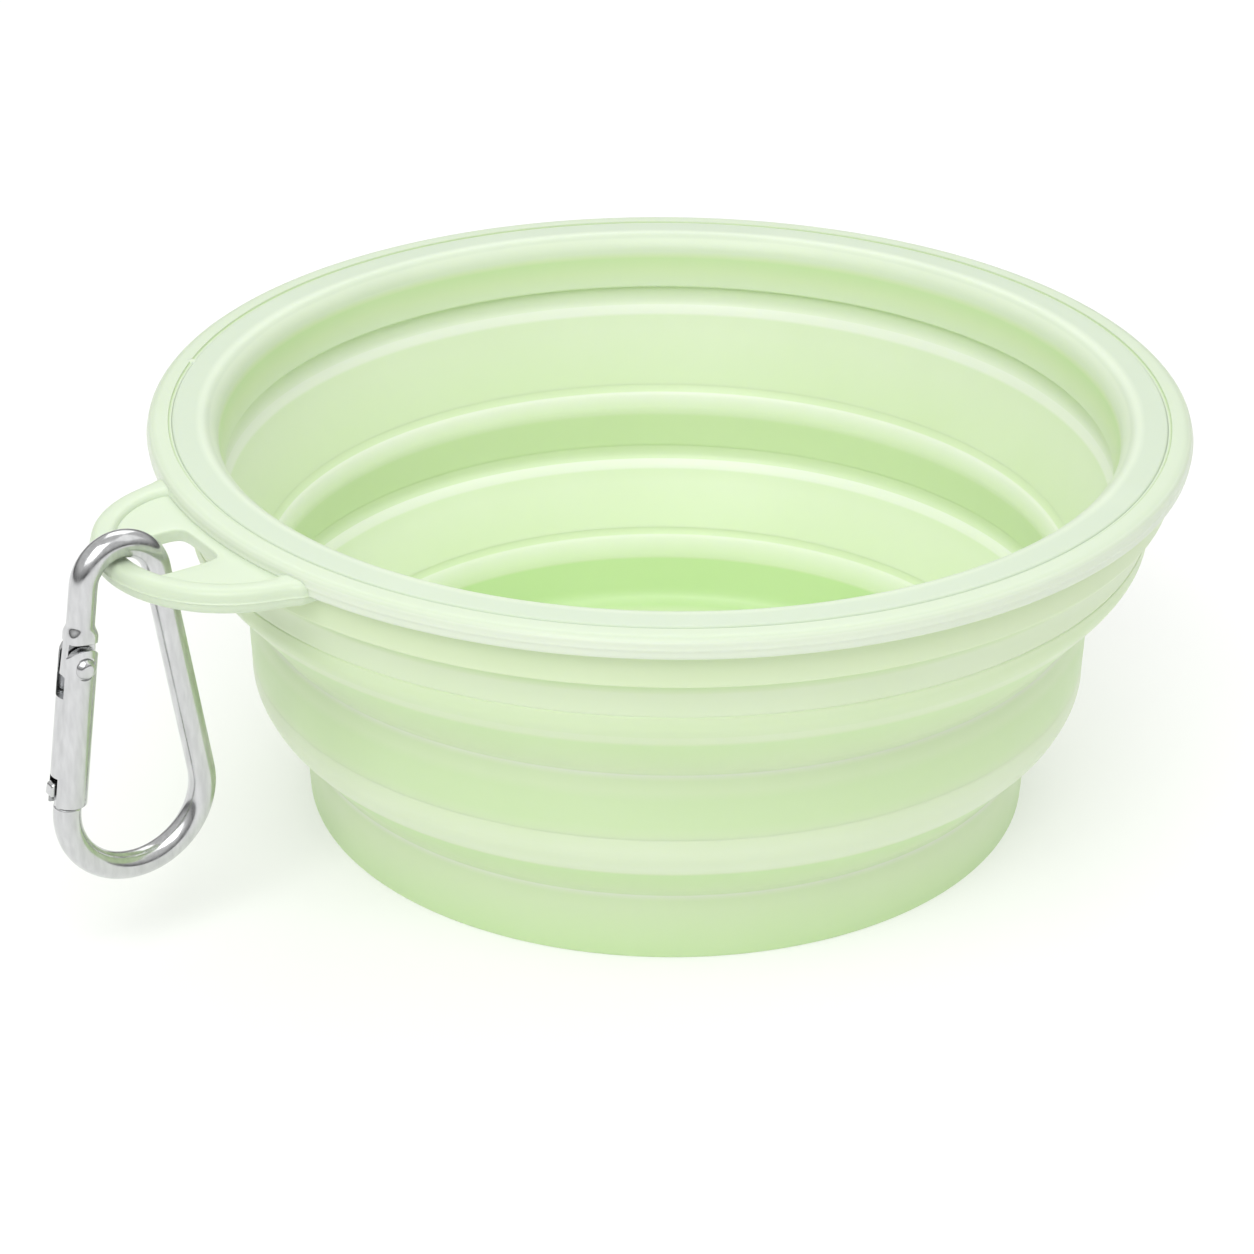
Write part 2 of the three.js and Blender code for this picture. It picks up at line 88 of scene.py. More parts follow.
class Body(Enum):
    """The bodies that pieces ride on."""

    RIM = "rim"
    MIDDLE = "middle"
    BASE = "base"
    CARABINER = "carabiner"
    GATE = "gate"
    PLUNGER = "plunger"


@dataclass(frozen=True)
class Corner:
    """A turn of an outline: radius and height, how far its rounding reaches along its sides, and its painted
    light level.

    This level paints light and shade into the colour: 0 paints the deep colour of a shaded wall, crease or
    underside, and 1 the pale highlight of a ledge or rounded edge facing the lamps. The lip's own material
    paints its highlight at 0.8 and a darker flat top at 1.
    """

    radius: float
    height: float
    reach: float = 0.0
    tone: float = PLAIN_PAINTED_LIGHT

    def beside(self, out: float, up: float = 0.0, reach: float = 0.0) -> "Corner":
        """A corner of plain painted light, this far out and up from here."""
        return Corner(self.radius + out, self.height + up, reach)


@dataclass(frozen=True)
class Grid:
    """Points of a surface with the faces between them, as four-cornered faces, triangles and flat end faces.

    A painted light level for each point may go with them.
    """

    points: np.ndarray
    quads: np.ndarray
    triangles: np.ndarray = field(default_factory=lambda: np.zeros((0, 3), int))
    ends: tuple[np.ndarray, ...] = ()
    tone: np.ndarray | None = None


def node_box(node: str) -> tuple[np.ndarray, np.ndarray]:
    """A CAD node's lowest and highest corner in millimetres.

    Args:
        node: the CAD node's name.

    Returns:
        The lowest and the highest corner.
    """
    low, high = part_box(node)
    return np.array(low) / MM, np.array(high) / MM


def rounded_outline(corners: list[Corner], closed: bool = True, spacing: float = 0.5) -> np.ndarray:
    """A polygon with each corner rounded, and points added along its straight stretches.

    At a corner P with unit vectors u and v along its sides, the curve is P + reach (u (1 - s)^2 + v s^2),
    with s from 0 to 1. Points are then added at even distances along the whole line.

    Args:
        corners: the polygon's corners in order.
        closed: whether the last corner joins the first.
        spacing: the longest distance between points.

    Returns:
        Points as radius, height and painted light level.
    """
    steps, longest_share, same_point, least_spacing = 7, 0.49, 1e-6, 0.02
    place = np.array([(corner.radius, corner.height) for corner in corners])
    reach = np.array([corner.reach for corner in corners])
    tone = np.repeat([corner.tone for corner in corners], steps)
    before = np.roll(place, 1, axis=0) - place
    after = np.roll(place, -1, axis=0) - place
    length_before = np.linalg.norm(before, axis=1)
    length_after = np.linalg.norm(after, axis=1)
    reach = np.minimum(reach, longest_share * np.minimum(length_before, length_after))
    if not closed:
        reach[[0, -1]] = 0
    s = np.linspace(0, 1, steps)[None, :, None]
    u = (before / length_before[:, None] * reach[:, None])[:, None, :]
    v = (after / length_after[:, None] * reach[:, None])[:, None, :]
    line = (place[:, None, :] + u * (1 - s) ** 2 + v * s ** 2).reshape(-1, 2)
    if closed:
        line = np.vstack([line, line[:1]])
        tone = np.append(tone, tone[0])
    kept = np.concatenate([[True], np.linalg.norm(np.diff(line, axis=0), axis=1) > same_point])
    line, tone = line[kept], tone[kept]
    along = np.concatenate([[0], np.cumsum(np.linalg.norm(np.diff(line, axis=0), axis=1))])
    even = np.linspace(0, along[-1], max(2, math.ceil(along[-1] / spacing)) + 1)
    stops = np.unique(np.round(np.concatenate([along, even]), 4))
    stops = stops[np.concatenate([[True], np.diff(stops) > least_spacing])]
    points = np.stack([np.interp(stops, along, values) for values in (line[:, 0], line[:, 1], tone)], axis=1)
    return points[:-1] if closed else points


def wrap_quads(rows: int, columns: int, close_rows: bool) -> np.ndarray:
    """Faces of a grid whose columns join up, and whose rows join up where close_rows is true.

    Args:
        rows: points along the outline.
        columns: points round the axis.
        close_rows: whether the last row joins the first.

    Returns:
        Point numbers of each face.
    """
    row = np.arange(rows if close_rows else rows - 1)[:, None]
    column = np.arange(columns)[None, :]
    next_row = (row + 1) % rows
    next_column = (column + 1) % columns
    faces = (row * columns + column, row * columns + next_column,
             next_row * columns + next_column, next_row * columns + column)
    return np.stack([np.broadcast_to(face, (len(row), columns)) for face in faces], axis=-1).reshape(-1, 4)


def revolve(outline: np.ndarray, segments: int = 288) -> Grid:
    """Turns an outline about the Z axis: x = r cos a, y = r sin a, z as it is.

    An outline that starts on the axis also ends on it and gets one point at each pole. Any other is closed.

    Args:
        outline: points as radius, height and painted light level, with the outer side going up.
        segments: points round the axis.

    Returns:
        The closed surface.
    """
    on_axis = outline[0, 0] == 0
    line = outline[1:-1] if on_axis else outline
    angle = np.linspace(0, 2 * np.pi, segments, endpoint=False)
    radius = line[:, :1]
    height = np.broadcast_to(line[:, 1:2], (len(line), segments))
    points = np.stack([radius * np.cos(angle), radius * np.sin(angle), height], axis=-1).reshape(-1, 3)
    quads = wrap_quads(len(line), segments, close_rows=not on_axis)
    tone = np.repeat(line[:, 2], segments)
    if not on_axis:
        return Grid(points, quads, tone=tone)
    poles = outline[[0, -1]]
    pole, last_row = len(points), len(points) - segments
    column = np.arange(segments)
    following = (column + 1) % segments
    low_fan = np.stack([np.full(segments, pole), following, column], axis=1)
    high_fan = np.stack([np.full(segments, pole + 1), last_row + column, last_row + following], axis=1)
    return Grid(np.vstack([points, np.outer(poles[:, 1], UP)]), quads, np.vstack([low_fan, high_fan]),
                tone=np.concatenate([tone, poles[:, 2]]))


def drum(radius: float, low: float, high: float, segments: int) -> Grid:
    """A closed cylinder about the Z axis.

    Args:
        radius: its radius.
        low: height of its lower end.
        high: height of its upper end.
        segments: points round the axis.

    Returns:
        The cylinder's surface.
    """
    outline = np.array([[0, low], [radius, low], [radius, high], [0, high]])
    return revolve(np.insert(outline, 2, PLAIN_PAINTED_LIGHT, axis=1), segments)


def loft(rings: np.ndarray) -> Grid:
    """Joins closed rings of points in order, and shuts the first and the last with a flat face.

    Args:
        rings: an array of rings by points by three, each ring turning the same way about its line of travel.

    Returns:
        The closed surface.
    """
    count, size = rings.shape[:2]
    first = np.arange(size)[::-1]
    last = (count - 1) * size + np.arange(size)
    return Grid(rings.reshape(-1, 3), wrap_quads(count, size, close_rows=False), ends=(first, last))


def block_turn(turn: np.ndarray, power: np.ndarray | float) -> tuple[np.ndarray, np.ndarray]:
    """Cosine and sine raised to a power with their signs kept, which run round an ellipse or a rounded block.

    Args:
        turn: the angles.
        power: 1 for an ellipse, and less for a squarer block.

    Returns:
        The raised cosine and the raised sine.
    """
    c, s = np.cos(turn), np.sin(turn)
    return np.sign(c) * np.abs(c) ** power, np.sign(s) * np.abs(s) ** power


def sweep(path: np.ndarray, across: np.ndarray, side: np.ndarray, half_across: np.ndarray,
          half_side: np.ndarray, squareness: np.ndarray, sides: int) -> Grid:
    """Carries a section along a path.

    At each stop the section is P + a c across + b s side, where c and s are cos t and sin t raised to 2 / p
    with their signs kept, so that p = 2 is an ellipse and a larger p a squarer block.

    Args:
        path: the stops.
        across: unit vector across the path at each stop.
        side: unit vector to the side at each stop, so that across, side and travel are right-handed.
        half_across: a, the section's half size along across at each stop.
        half_side: b, the half size along side.
        squareness: p at each stop.
        sides: points round the section.

    Returns:
        The closed surface.
    """
    c, s = block_turn(np.linspace(0, 2 * np.pi, sides, endpoint=False)[None, :], 2 / squareness[:, None])
    rings = (path[:, None, :] + (half_across[:, None] * c)[..., None] * across[:, None, :]
             + (half_side[:, None] * s)[..., None] * side[:, None, :])
    return loft(rings)


def plate(outline: np.ndarray, half: float, edge: float) -> Grid:
    """A flat plate in X and Z with eased edges, from half below Y = 0 to half above it.

    The outline is drawn four times, and the outer two are moved inwards by edge along its normals.

    Args:
        outline: points that start with X and Z, turning from X towards Z.
        half: half the thickness.
        edge: size of the eased edge.

    Returns:
        The closed plate.
    """
    outline = outline[:, :2]
    travel = np.roll(outline, -1, axis=0) - np.roll(outline, 1, axis=0)
    travel = travel / np.linalg.norm(travel, axis=1)[:, None]
    inset = outline + edge * np.stack([-travel[:, 1], travel[:, 0]], axis=1)
    levels = ((inset, half), (outline, half - edge), (outline, edge - half), (inset, -half))
    return loft(np.stack([np.insert(line, 1, level, axis=1) for line, level in levels]))


def joined(*grids: Grid) -> Grid:
    """Several closed surfaces as one.

    Args:
        grids: the surfaces.

    Returns:
        All their points and faces, renumbered.
    """
    starts = np.cumsum([0] + [len(grid.points) for grid in grids])
    ends = tuple(end + start for grid, start in zip(grids, starts) for end in grid.ends)
    return Grid(np.vstack([grid.points for grid in grids]),
                np.vstack([grid.quads + start for grid, start in zip(grids, starts)]),
                np.vstack([grid.triangles + start for grid, start in zip(grids, starts)]), ends)


def moved(grid: Grid, turn: np.ndarray, shift: np.ndarray) -> Grid:
    """A surface turned and then shifted.

    Args:
        grid: the surface.
        turn: a 3 by 3 matrix.
        shift: where its origin goes.

    Returns:
        The moved surface.
    """
    return Grid(grid.points @ turn.T + shift, grid.quads, grid.triangles, grid.ends)


def mesh_object(name: str, grid: Grid) -> bpy.types.Object:
    """Writes a surface into a new mesh object at the origin.

    Args:
        name: the object's name.
        grid: the surface in millimetres.

    Returns:
        The object, linked to the scene.
    """
    faces = [grid.quads, grid.triangles, *(end[None, :] for end in grid.ends)]
    corners = np.concatenate([block.ravel() for block in faces])
    totals = np.concatenate([np.full(len(block), block.shape[1]) for block in faces])
    mesh = bpy.data.meshes.new(name)
    mesh.vertices.add(len(grid.points))
    mesh.vertices.foreach_set("co", (grid.points * MM).astype(np.float32).ravel())
    mesh.loops.add(len(corners))
    mesh.loops.foreach_set("vertex_index", corners.astype(np.int32))
    mesh.polygons.add(len(totals))
    mesh.polygons.foreach_set("loop_start", (np.cumsum(totals) - totals).astype(np.int32))
    mesh.polygons.foreach_set("use_smooth", np.ones(len(totals), bool))
    mesh.update(calc_edges=True)
    mesh.validate()
    # Each point carries its painted light level, plain where the surface has none.
    tone = np.full(len(grid.points), PLAIN_PAINTED_LIGHT) if grid.tone is None else grid.tone
    mesh.attributes.new(PAINTED_LIGHT, "FLOAT", "POINT").data.foreach_set("value", tone.astype(np.float32))
    mesh.set_sharp_from_angle(angle=math.radians(SHARP_ANGLE))
    piece = bpy.data.objects.new(name, mesh)
    bpy.context.scene.collection.objects.link(piece)
    return piece


def cut(piece: bpy.types.Object, cutters: list[bpy.types.Object]) -> None:
    """Takes each cutter away from a piece, writes the result into its mesh and deletes the cutters.

    Args:
        piece: the piece to cut.
        cutters: closed objects.
    """
    for cutter in cutters:
        step = piece.modifiers.new("cut", "BOOLEAN")
        step.operation = "DIFFERENCE"
        step.solver = "EXACT"
        step.object = cutter
    bpy.context.view_layer.update()
    result = bpy.data.meshes.new_from_object(piece.evaluated_get(bpy.context.evaluated_depsgraph_get()))
    piece.modifiers.clear()
    piece.data = result
    for cutter in cutters:
        bpy.data.objects.remove(cutter)


def ease_edges(piece: bpy.types.Object, width: float, angle: float) -> None:
    """Bevels a piece's sharp edges and keeps its flats flat in shading.

    Args:
        piece: the piece.
        width: the bevel's width in millimetres.
        angle: edges sharper than this many degrees are bevelled.
    """
    bevel = piece.modifiers.new("eased_edges", "BEVEL")
    bevel.width = width * MM
    bevel.segments = 2
    bevel.limit_method = "ANGLE"
    bevel.angle_limit = math.radians(angle)
    bevel.harden_normals = True


def set_stops(ramp: bpy.types.ColorRamp, stops: dict[float, Colour]) -> None:
    """Gives a colour ramp its stops.

    Args:
        ramp: a new ramp.
        stops: colour at each place, two or more.
    """
    while len(ramp.elements) < len(stops):
        ramp.elements.new(1.0)
    for element, (place, colour) in zip(ramp.elements, sorted(stops.items())):
        element.position = place
        element.color = (*colour, 1)


class NodeSheet:
    """A material's node tree, with short ways to add and link nodes."""

    def __init__(self, name: str) -> None:
        """Starts a material with one shader.

        Args:
            name: the material's name.
        """
        self.material = bpy.data.materials.new(name)
        self.material.use_nodes = True
        self.tree = self.material.node_tree
        self.shader = self.tree.nodes["Principled BSDF"]
        self.place = self.add("ShaderNodeTexCoord").outputs["Object"]

    def fill(self, node: bpy.types.Node, **inputs: object) -> None:
        """Links each input that gets a socket and sets each other one, named with underscores for spaces.

        Args:
            node: the node.
            inputs: a socket or a value for each input.
        """
        for name, value in inputs.items():
            target = node.inputs[name.replace("_", " ")]
            if isinstance(value, Socket):
                self.tree.links.new(value, target)
            else:
                target.default_value = value

    def add(self, kind: str, **inputs: object) -> bpy.types.Node:
        """Adds a node and fills its inputs.

        Args:
            kind: the node's type.
            inputs: a socket or a value for each input.

        Returns:
            The node.
        """
        node = self.tree.nodes.new(kind)
        self.fill(node, **inputs)
        return node

    def noise(self, scale: float, detail: float, stretch: Colour = (1, 1, 1)) -> Socket:
        """Adds a noise on Object coordinates.

        Args:
            scale: waves in each metre.
            detail: octaves.
            stretch: scale along each axis.

        Returns:
            The noise's value socket.
        """
        place = self.add("ShaderNodeMapping", Vector=self.place, Scale=stretch).outputs["Vector"]
        return self.add("ShaderNodeTexNoise", Vector=place, Scale=scale, Detail=detail).outputs["Fac"]

    def ramp(self, factor: Socket, stops: dict[float, Colour]) -> Socket:
        """Adds a colour ramp.

        Args:
            factor: the socket to read.
            stops: colour at each value.

        Returns:
            The ramp's colour socket.
        """
        node = self.add("ShaderNodeValToRGB", Fac=factor)
        set_stops(node.color_ramp, stops)
        return node.outputs["Color"]

    def painted_light_colour(self, drift: Socket, stops: dict[float, Colour]) -> Socket:
        """Adds a ramp that turns the piece's painted light level, with a little random drift, into a colour
        with light and shade painted in.

        Args:
            drift: a socket added to the painted light level.
            stops: colour at each painted light level.

        Returns:
            The ramp's colour socket, with light and shade painted in.
        """
        tone = self.add("ShaderNodeAttribute")
        tone.attribute_name = PAINTED_LIGHT
        total = self.add("ShaderNodeMath")
        self.tree.links.new(tone.outputs["Fac"], total.inputs[0])
        self.tree.links.new(drift, total.inputs[1])
        return self.ramp(total.outputs["Value"], stops)

    def spread(self, factor: Socket, low: float, high: float) -> Socket:
        """Adds a map of the middle of a noise to a range of values.

        Args:
            factor: the socket to read.
            low: value at its low end.
            high: value at its high end.

        Returns:
            The mapped socket.
        """
        start, end = NOISE_SPAN
        node = self.add("ShaderNodeMapRange", Value=factor, From_Min=start, From_Max=end, To_Min=low,
                        To_Max=high)
        return node.outputs["Result"]

    def bump(self, height: Socket, strength: float, distance: float, under: Socket | None = None) -> Socket:
        """Adds a bump.

        Args:
            height: the socket to read as height.
            strength: share of the bump.
            distance: height in millimetres.
            under: a bump's normal socket to build on.

        Returns:
            The normal socket.
        """
        node = self.add("ShaderNodeBump", Height=height, Strength=strength, Distance=distance * MM)
        if under is not None:
            self.fill(node, Normal=under)
        return node.outputs["Normal"]


@dataclass(frozen=True)
class MouldedFinish:
    """A satin moulded surface: light and shade painted from each point's level, a little colour drift, uneven
    gloss, faint orange peel and fine grain.

    Scales are waves in each metre, and depths are in millimetres.
    """

    name: str
    stops: dict[float, Colour]
    roughness: tuple[float, float]
    ior: float
    grain: float
    grain_scale: float = 4200
    peel: float = 0.25
    peel_scale: float = 420
    bump_depth: float = 0.01
    drift: float = 0.035
    drift_scale: float = 55
    gloss_scale: float = 330
    scatter: float = 0.2
    scatter_depth: float = 0.7
    scatter_reach: Colour = (1.0, 1.0, 0.55)

    def make(self) -> bpy.types.Material:
        """Makes the material.

        Returns:
            The material.
        """
        sheet = NodeSheet(self.name)
        drift = sheet.spread(sheet.noise(self.drift_scale, 3), -self.drift, self.drift)
        peel = sheet.bump(sheet.noise(self.peel_scale, 1), self.peel, self.bump_depth)
        sheet.fill(
            sheet.shader,
            # Base colour paints light and shade from each point's painted light level, with a little random
            # drift.
            Base_Color=sheet.painted_light_colour(drift, self.stops),
            Roughness=sheet.spread(sheet.noise(self.gloss_scale, 3), *self.roughness),
            Normal=sheet.bump(sheet.noise(self.grain_scale, 2), self.grain, self.bump_depth, peel),
            Subsurface_Weight=self.scatter,
            Subsurface_Scale=self.scatter_depth * MM,
            Subsurface_Radius=self.scatter_reach,
            IOR=self.ior,
        )
        return sheet.material


@dataclass(frozen=True)
class MetalFinish:
    """A bright metal with fine drawn lines, cloudy wear and tiny pits. Bumps are strength and depth."""

    name: str
    bright: Colour
    dull: Colour
    roughness: tuple[float, float]
    lines: Colour
    wear_scale: float = 1500
    gloss_scale: float = 900
    line_scale: float = 2600
    line_bump: tuple[float, float] = (0.12, 0.006)
    pit_scale: float = 1500
    pit_bump: tuple[float, float] = (0.2, 0.008)

    def make(self) -> bpy.types.Material:
        """Makes the material.

        Returns:
            The material.
        """
        sheet = NodeSheet(self.name)
        drawn = sheet.bump(sheet.noise(self.line_scale, 2, self.lines), *self.line_bump)
        wear = sheet.noise(self.wear_scale, 4, self.lines)
        sheet.fill(
            sheet.shader,
            Base_Color=sheet.ramp(wear, dict(zip(NOISE_SPAN, (self.dull, self.bright)))),
            Roughness=sheet.spread(sheet.noise(self.gloss_scale, 4, self.lines), *self.roughness),
            Normal=sheet.bump(sheet.noise(self.pit_scale, 3), *self.pit_bump, drawn),
            Metallic=1.0,
        )
        return sheet.material


@dataclass(frozen=True)
class Finishes:
    """The object's materials by slot, and the lip's own copy of the rubber with its painted highlight and
    shade.
    """

    by_slot: dict[Slot, bpy.types.Material]
    lip: bpy.types.Material

    @classmethod
    def make(cls) -> "Finishes":
        """Makes all of them.

        Returns:
            The materials.
        """
        # Rubber: 0 paints shade on walls, creases and undersides, 1 paints highlights on ledges and fillets.
        rubber = MouldedFinish("satin_rubber", {
            0.0: (0.58, 0.79, 0.40), 0.5: (0.70, 0.825, 0.55), 1.0: (0.86, 0.91, 0.80),
        }, roughness=(0.36, 0.44), ior=1.43, grain=0.10)
        # Lip rubber: 0.8 paints the highlight on the lip's inner rounding, and 1 paints its flat top darker
        # where the lamps light it most.
        lip = MouldedFinish("lip_rubber_painted_highlight", {
            0.0: (0.58, 0.79, 0.40), 0.45: (0.71, 0.83, 0.55),
            0.8: (0.75, 0.84, 0.665), 1.0: (0.626, 0.724, 0.568),
        }, roughness=(0.34, 0.42), ior=1.43, grain=0.10)
        # Plastic: 0 paints the shadow in the seam groove, high levels paint the outer face and rounded
        # shoulder paler than the flat top.
        plastic = MouldedFinish("satin_plastic", {
            0.0: (0.53, 0.67, 0.38), 0.5: (0.66, 0.76, 0.58), 1.0: (0.75, 0.82, 0.68),
        }, roughness=(0.30, 0.38), ior=1.47, grain=0.06)
        metal = MetalFinish("bright_aluminium", bright=(0.66, 0.665, 0.67), dull=(0.55, 0.555, 0.56),
                            roughness=(0.13, 0.26), lines=(1, 1, 0.2))
        spring = MetalFinish("spring_steel", bright=(0.62, 0.63, 0.65), dull=(0.50, 0.51, 0.52),
                             roughness=(0.24, 0.36), lines=(1, 1, 1))
        return cls({Slot.BOWL: rubber.make(), Slot.RIM: plastic.make(), Slot.METAL: metal.make(),
                    Slot.SPRING: spring.make()}, lip.make())

    def dress(self, piece: bpy.types.Object, slot: Slot, *nodes: str, body: Body | None = None,
              coat: bpy.types.Material | None = None) -> None:
        """Gives a piece its material, slot and body, and hides the CAD nodes it stands for.

        Args:
            piece: the piece.
            slot: the record's slot.
            nodes: CAD nodes that the piece replaces.
            body: the body it rides on, or none to leave it unattached.
            coat: a material other than the slot's own.
        """
        piece.data.materials.clear()
        piece.data.materials.append(coat or self.by_slot[slot])
        if nodes:
            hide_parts(*nodes)
        if body is not None:
            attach(piece, body.value)
        log.info("%s: %d faces, %s", piece.name, len(piece.data.polygons), slot.value)


@dataclass
class SoftMoulding:
    """The soft bowl: a collar that rides on the rim, two fold webs of two skins each, a band and a base cup.

    Each corner is a radius, a height, a rounding and a painted light level, which paints shade on overhanging
    walls, undersides and creases and highlights on ledges, fillets and rolled edges. They are grouped by
    piece, from the lip down.
    """

    finishes: Finishes
    rim_top: float = field(default_factory=lambda: node_box("collar")[1][2])
    neck_radius: float = field(default_factory=lambda: node_box("collar")[1][1])
    seat_radius: float = 61.83
    seam_round: float = 0.34
    skin: float = 0.8
    foot_skin: float = 0.3
    bend_drop: float = 1.0
    lip_inner: float = 56.45
    lip_round: float = 2.7
    lip_reach: float = 0.95
    # Lip: its lower edge at 0.7 is painted light, and its inner wall at 0.22 is painted the deep green of a
    # shaded wall.
    lip_edge: Corner = Corner(55.55, 45.45, 0.4, 0.7)
    lip_wall: Corner = Corner(56.1, 49.6, 0.0, 0.22)
    neck_foot_height: float = 45.65
    neck_top_height: float = 49.9

    # Upper web: the recess foot and ledge (0.85, 1.0) paint a highlight, the cove's top at 0 paints the
    # shadow line under the neck's step, and the roll's underside at 0.2 paints shade.
    recess_top: Corner = Corner(56.3, 45.6, 0.0, 0.6)
    recess_foot: Corner = Corner(56.45, 43.2, 1.2, 0.85)
    upper_ledge: Corner = Corner(55.8, 42.2, 0.9, 1.0)
    upper_taper: Corner = Corner(55.1, 40.4, 1.5, 0.66)
    upper_crease: Corner = Corner(51.86, 32.3, 0.0, 0.55)
    upper_tuck: Corner = Corner(52.4, 32.25)
    cove_top: Corner = Corner(61.3, 45.5, 0.0, 0.0)
    cove_middle: Corner = Corner(60.45, 42.8, 1.8, 0.6)
    cove_line: Corner = Corner(60.3, 40.72, 0.0, 0.6)
    cove_groove: Corner = Corner(60.22, 40.6, 0.0, 0.6)
    roll_line: Corner = Corner(60.36, 40.45, 0.12, 0.5)
    roll_middle: Corner = Corner(60.35, 38.6, 1.0, 0.45)
    roll_edge: Corner = Corner(59.35, 37.0, 0.7, 0.55)
    roll_under: Corner = Corner(58.3, 35.75, 0.0, 0.2)
    upper_fillet: Corner = Corner(53.03, 29.5, 1.3, 0.42)
    upper_foot: Corner = Corner(53.03, 28.2)
    upper_bend_height: float = 33.5

    # Band: the bead's ledge at 0.95 and the outer top at 0.75 paint highlights, and the outer bulge at 0.25
    # paints shade.
    band_crease: Corner = Corner(52.05, 32.6, 0.0, 0.5)
    band_step: Corner = Corner(51.62, 31.75, 0.4, 0.5)
    band_ledge: Corner = Corner(51.1, 31.15, 0.5, 0.95)
    band_edge: Corner = Corner(50.5, 29.0, 0.9, 0.68)
    band_under: Corner = Corner(50.63, 28.0, 0.0, 0.45)
    band_wall_foot: Corner = Corner(51.55, 23.05, 0.0, 0.45)
    band_line: Corner = Corner(53.4, 20.5, 0.0, 0.38)
    band_bulge: Corner = Corner(53.6, 24.0, 3.0, 0.25)
    band_shoulder: Corner = Corner(53.35, 27.6, 1.2, 0.4)
    band_top: Corner = Corner(53.05, 29.0, 0.0, 0.75)

    # Lower web: the ledge at 1.0 paints a highlight, and the lip's underside at 0.12 paints shade.
    wall_foot: Corner = Corner(51.85, 21.5, 1.1, 0.6)
    lower_ledge: Corner = Corner(50.85, 20.6, 0.8, 1.0)
    lower_taper: Corner = Corner(50.1, 18.9, 1.4, 0.68)
    lower_crease: Corner = Corner(46.47, 12.55, 0.0, 0.57)
    lower_tuck: Corner = Corner(47.0, 12.5)
    lip_line: Corner = Corner(53.42, 20.25, 0.12, 0.55)
    lip_middle: Corner = Corner(53.4, 17.8, 1.0, 0.62)
    lip_foot: Corner = Corner(52.35, 15.6, 0.6, 0.65)
    lip_under: Corner = Corner(51.4, 14.5, 0.0, 0.12)
    lower_fillet: Corner = Corner(46.96, 9.5, 1.3, 0.35)
    lower_foot: Corner = Corner(46.96, 8.2)
    lower_bend_height: float = 12.9
    wall_lap: tuple[float, float] = (0.03, 0.25)
    line_lap: tuple[float, float] = (-0.05, 0.15)

    # Base: the ledge at 0.9 and the top at 0.75 paint highlights, and the bead's underside, floor corner and
    # foot (0.12 to 0.15) paint shade.
    base_crease: Corner = Corner(46.66, 12.85, 0.0, 0.5)
    base_step: Corner = Corner(46.3, 12.0, 0.4, 0.5)
    base_ledge: Corner = Corner(45.8, 11.4, 0.5, 0.9)
    base_edge: Corner = Corner(45.05, 9.0, 0.9, 0.62)
    base_under: Corner = Corner(45.0, 8.2, 0.0, 0.12)
    base_floor_corner: Corner = Corner(44.5, 2.0, 2.6, 0.15)
    base_floor_edge: Corner = Corner(41.0, 2.0, 0.0, 0.5)
    base_floor_middle: Corner = Corner(0, 2.0, 0.0, 0.65)
    base_foot: Corner = Corner(46.6, 0.0, 0.5, 0.14)
    base_shoulder: Corner = Corner(47.05, 7.6, 1.2, 0.4)
    base_top: Corner = Corner(46.98, 9.0, 0.0, 0.75)

    def piece(self, name: str, corners: list[Corner]) -> bpy.types.Object:
        """Revolves a closed outline, its outer side listed upwards, into a piece."""
        return mesh_object(name, revolve(rounded_outline(corners)))

    def collar(self) -> None:
        """The lip with its rounding in two steps, its seat for the ring, and the neck below the ring."""
        half_round = self.lip_round / 2
        # The lip's material paints a highlight on the inner rounding (0.8, 0.88), a darker flat top (1.0) and
        # a little shade on the neck under the ring (0.4).
        piece = self.piece("collar_moulding", [
            self.lip_edge,
            Corner(self.neck_radius, self.neck_foot_height, self.seam_round, 0.5),
            Corner(self.neck_radius, self.neck_top_height, self.seam_round, 0.4),
            Corner(self.seat_radius, self.neck_top_height),
            Corner(self.seat_radius, self.rim_top, self.seam_round, 1.0),
            Corner(self.lip_inner + self.lip_round, self.rim_top, 0.0, 1.0),
            Corner(self.lip_inner + half_round, self.rim_top, self.lip_reach, 0.88),
            Corner(self.lip_inner, self.rim_top - half_round, self.lip_reach, 0.8),
            self.lip_wall,
        ])
        self.finishes.dress(piece, Slot.BOWL, "collar", body=Body.RIM, coat=self.finishes.lip)

    def skin_piece(self, name: str, node: str, corners: list[Corner]) -> None:
        """One skin of a fold web, dressed without a body, with its placement written into its mesh.

        Args:
            name: the piece's name.
            node: the CAD node that the skins replace.
            corners: the closed outline, its outer side listed upwards.
        """
        piece = self.piece(name, corners)
        self.finishes.dress(piece, Slot.BOWL, node)
        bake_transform(piece)

    def outside_back(self, top: Corner, middle: Corner, edge: Corner, foot: Corner) -> list[Corner]:
        """The hidden back of an outer skin, from its top down to its foot."""
        return [
            top.beside(-self.skin), middle.beside(-self.skin, reach=1.0),
            edge.beside(-self.skin, self.skin, 0.5),
            foot.beside(-self.foot_skin, 2 * self.skin), foot.beside(-self.foot_skin),
        ]

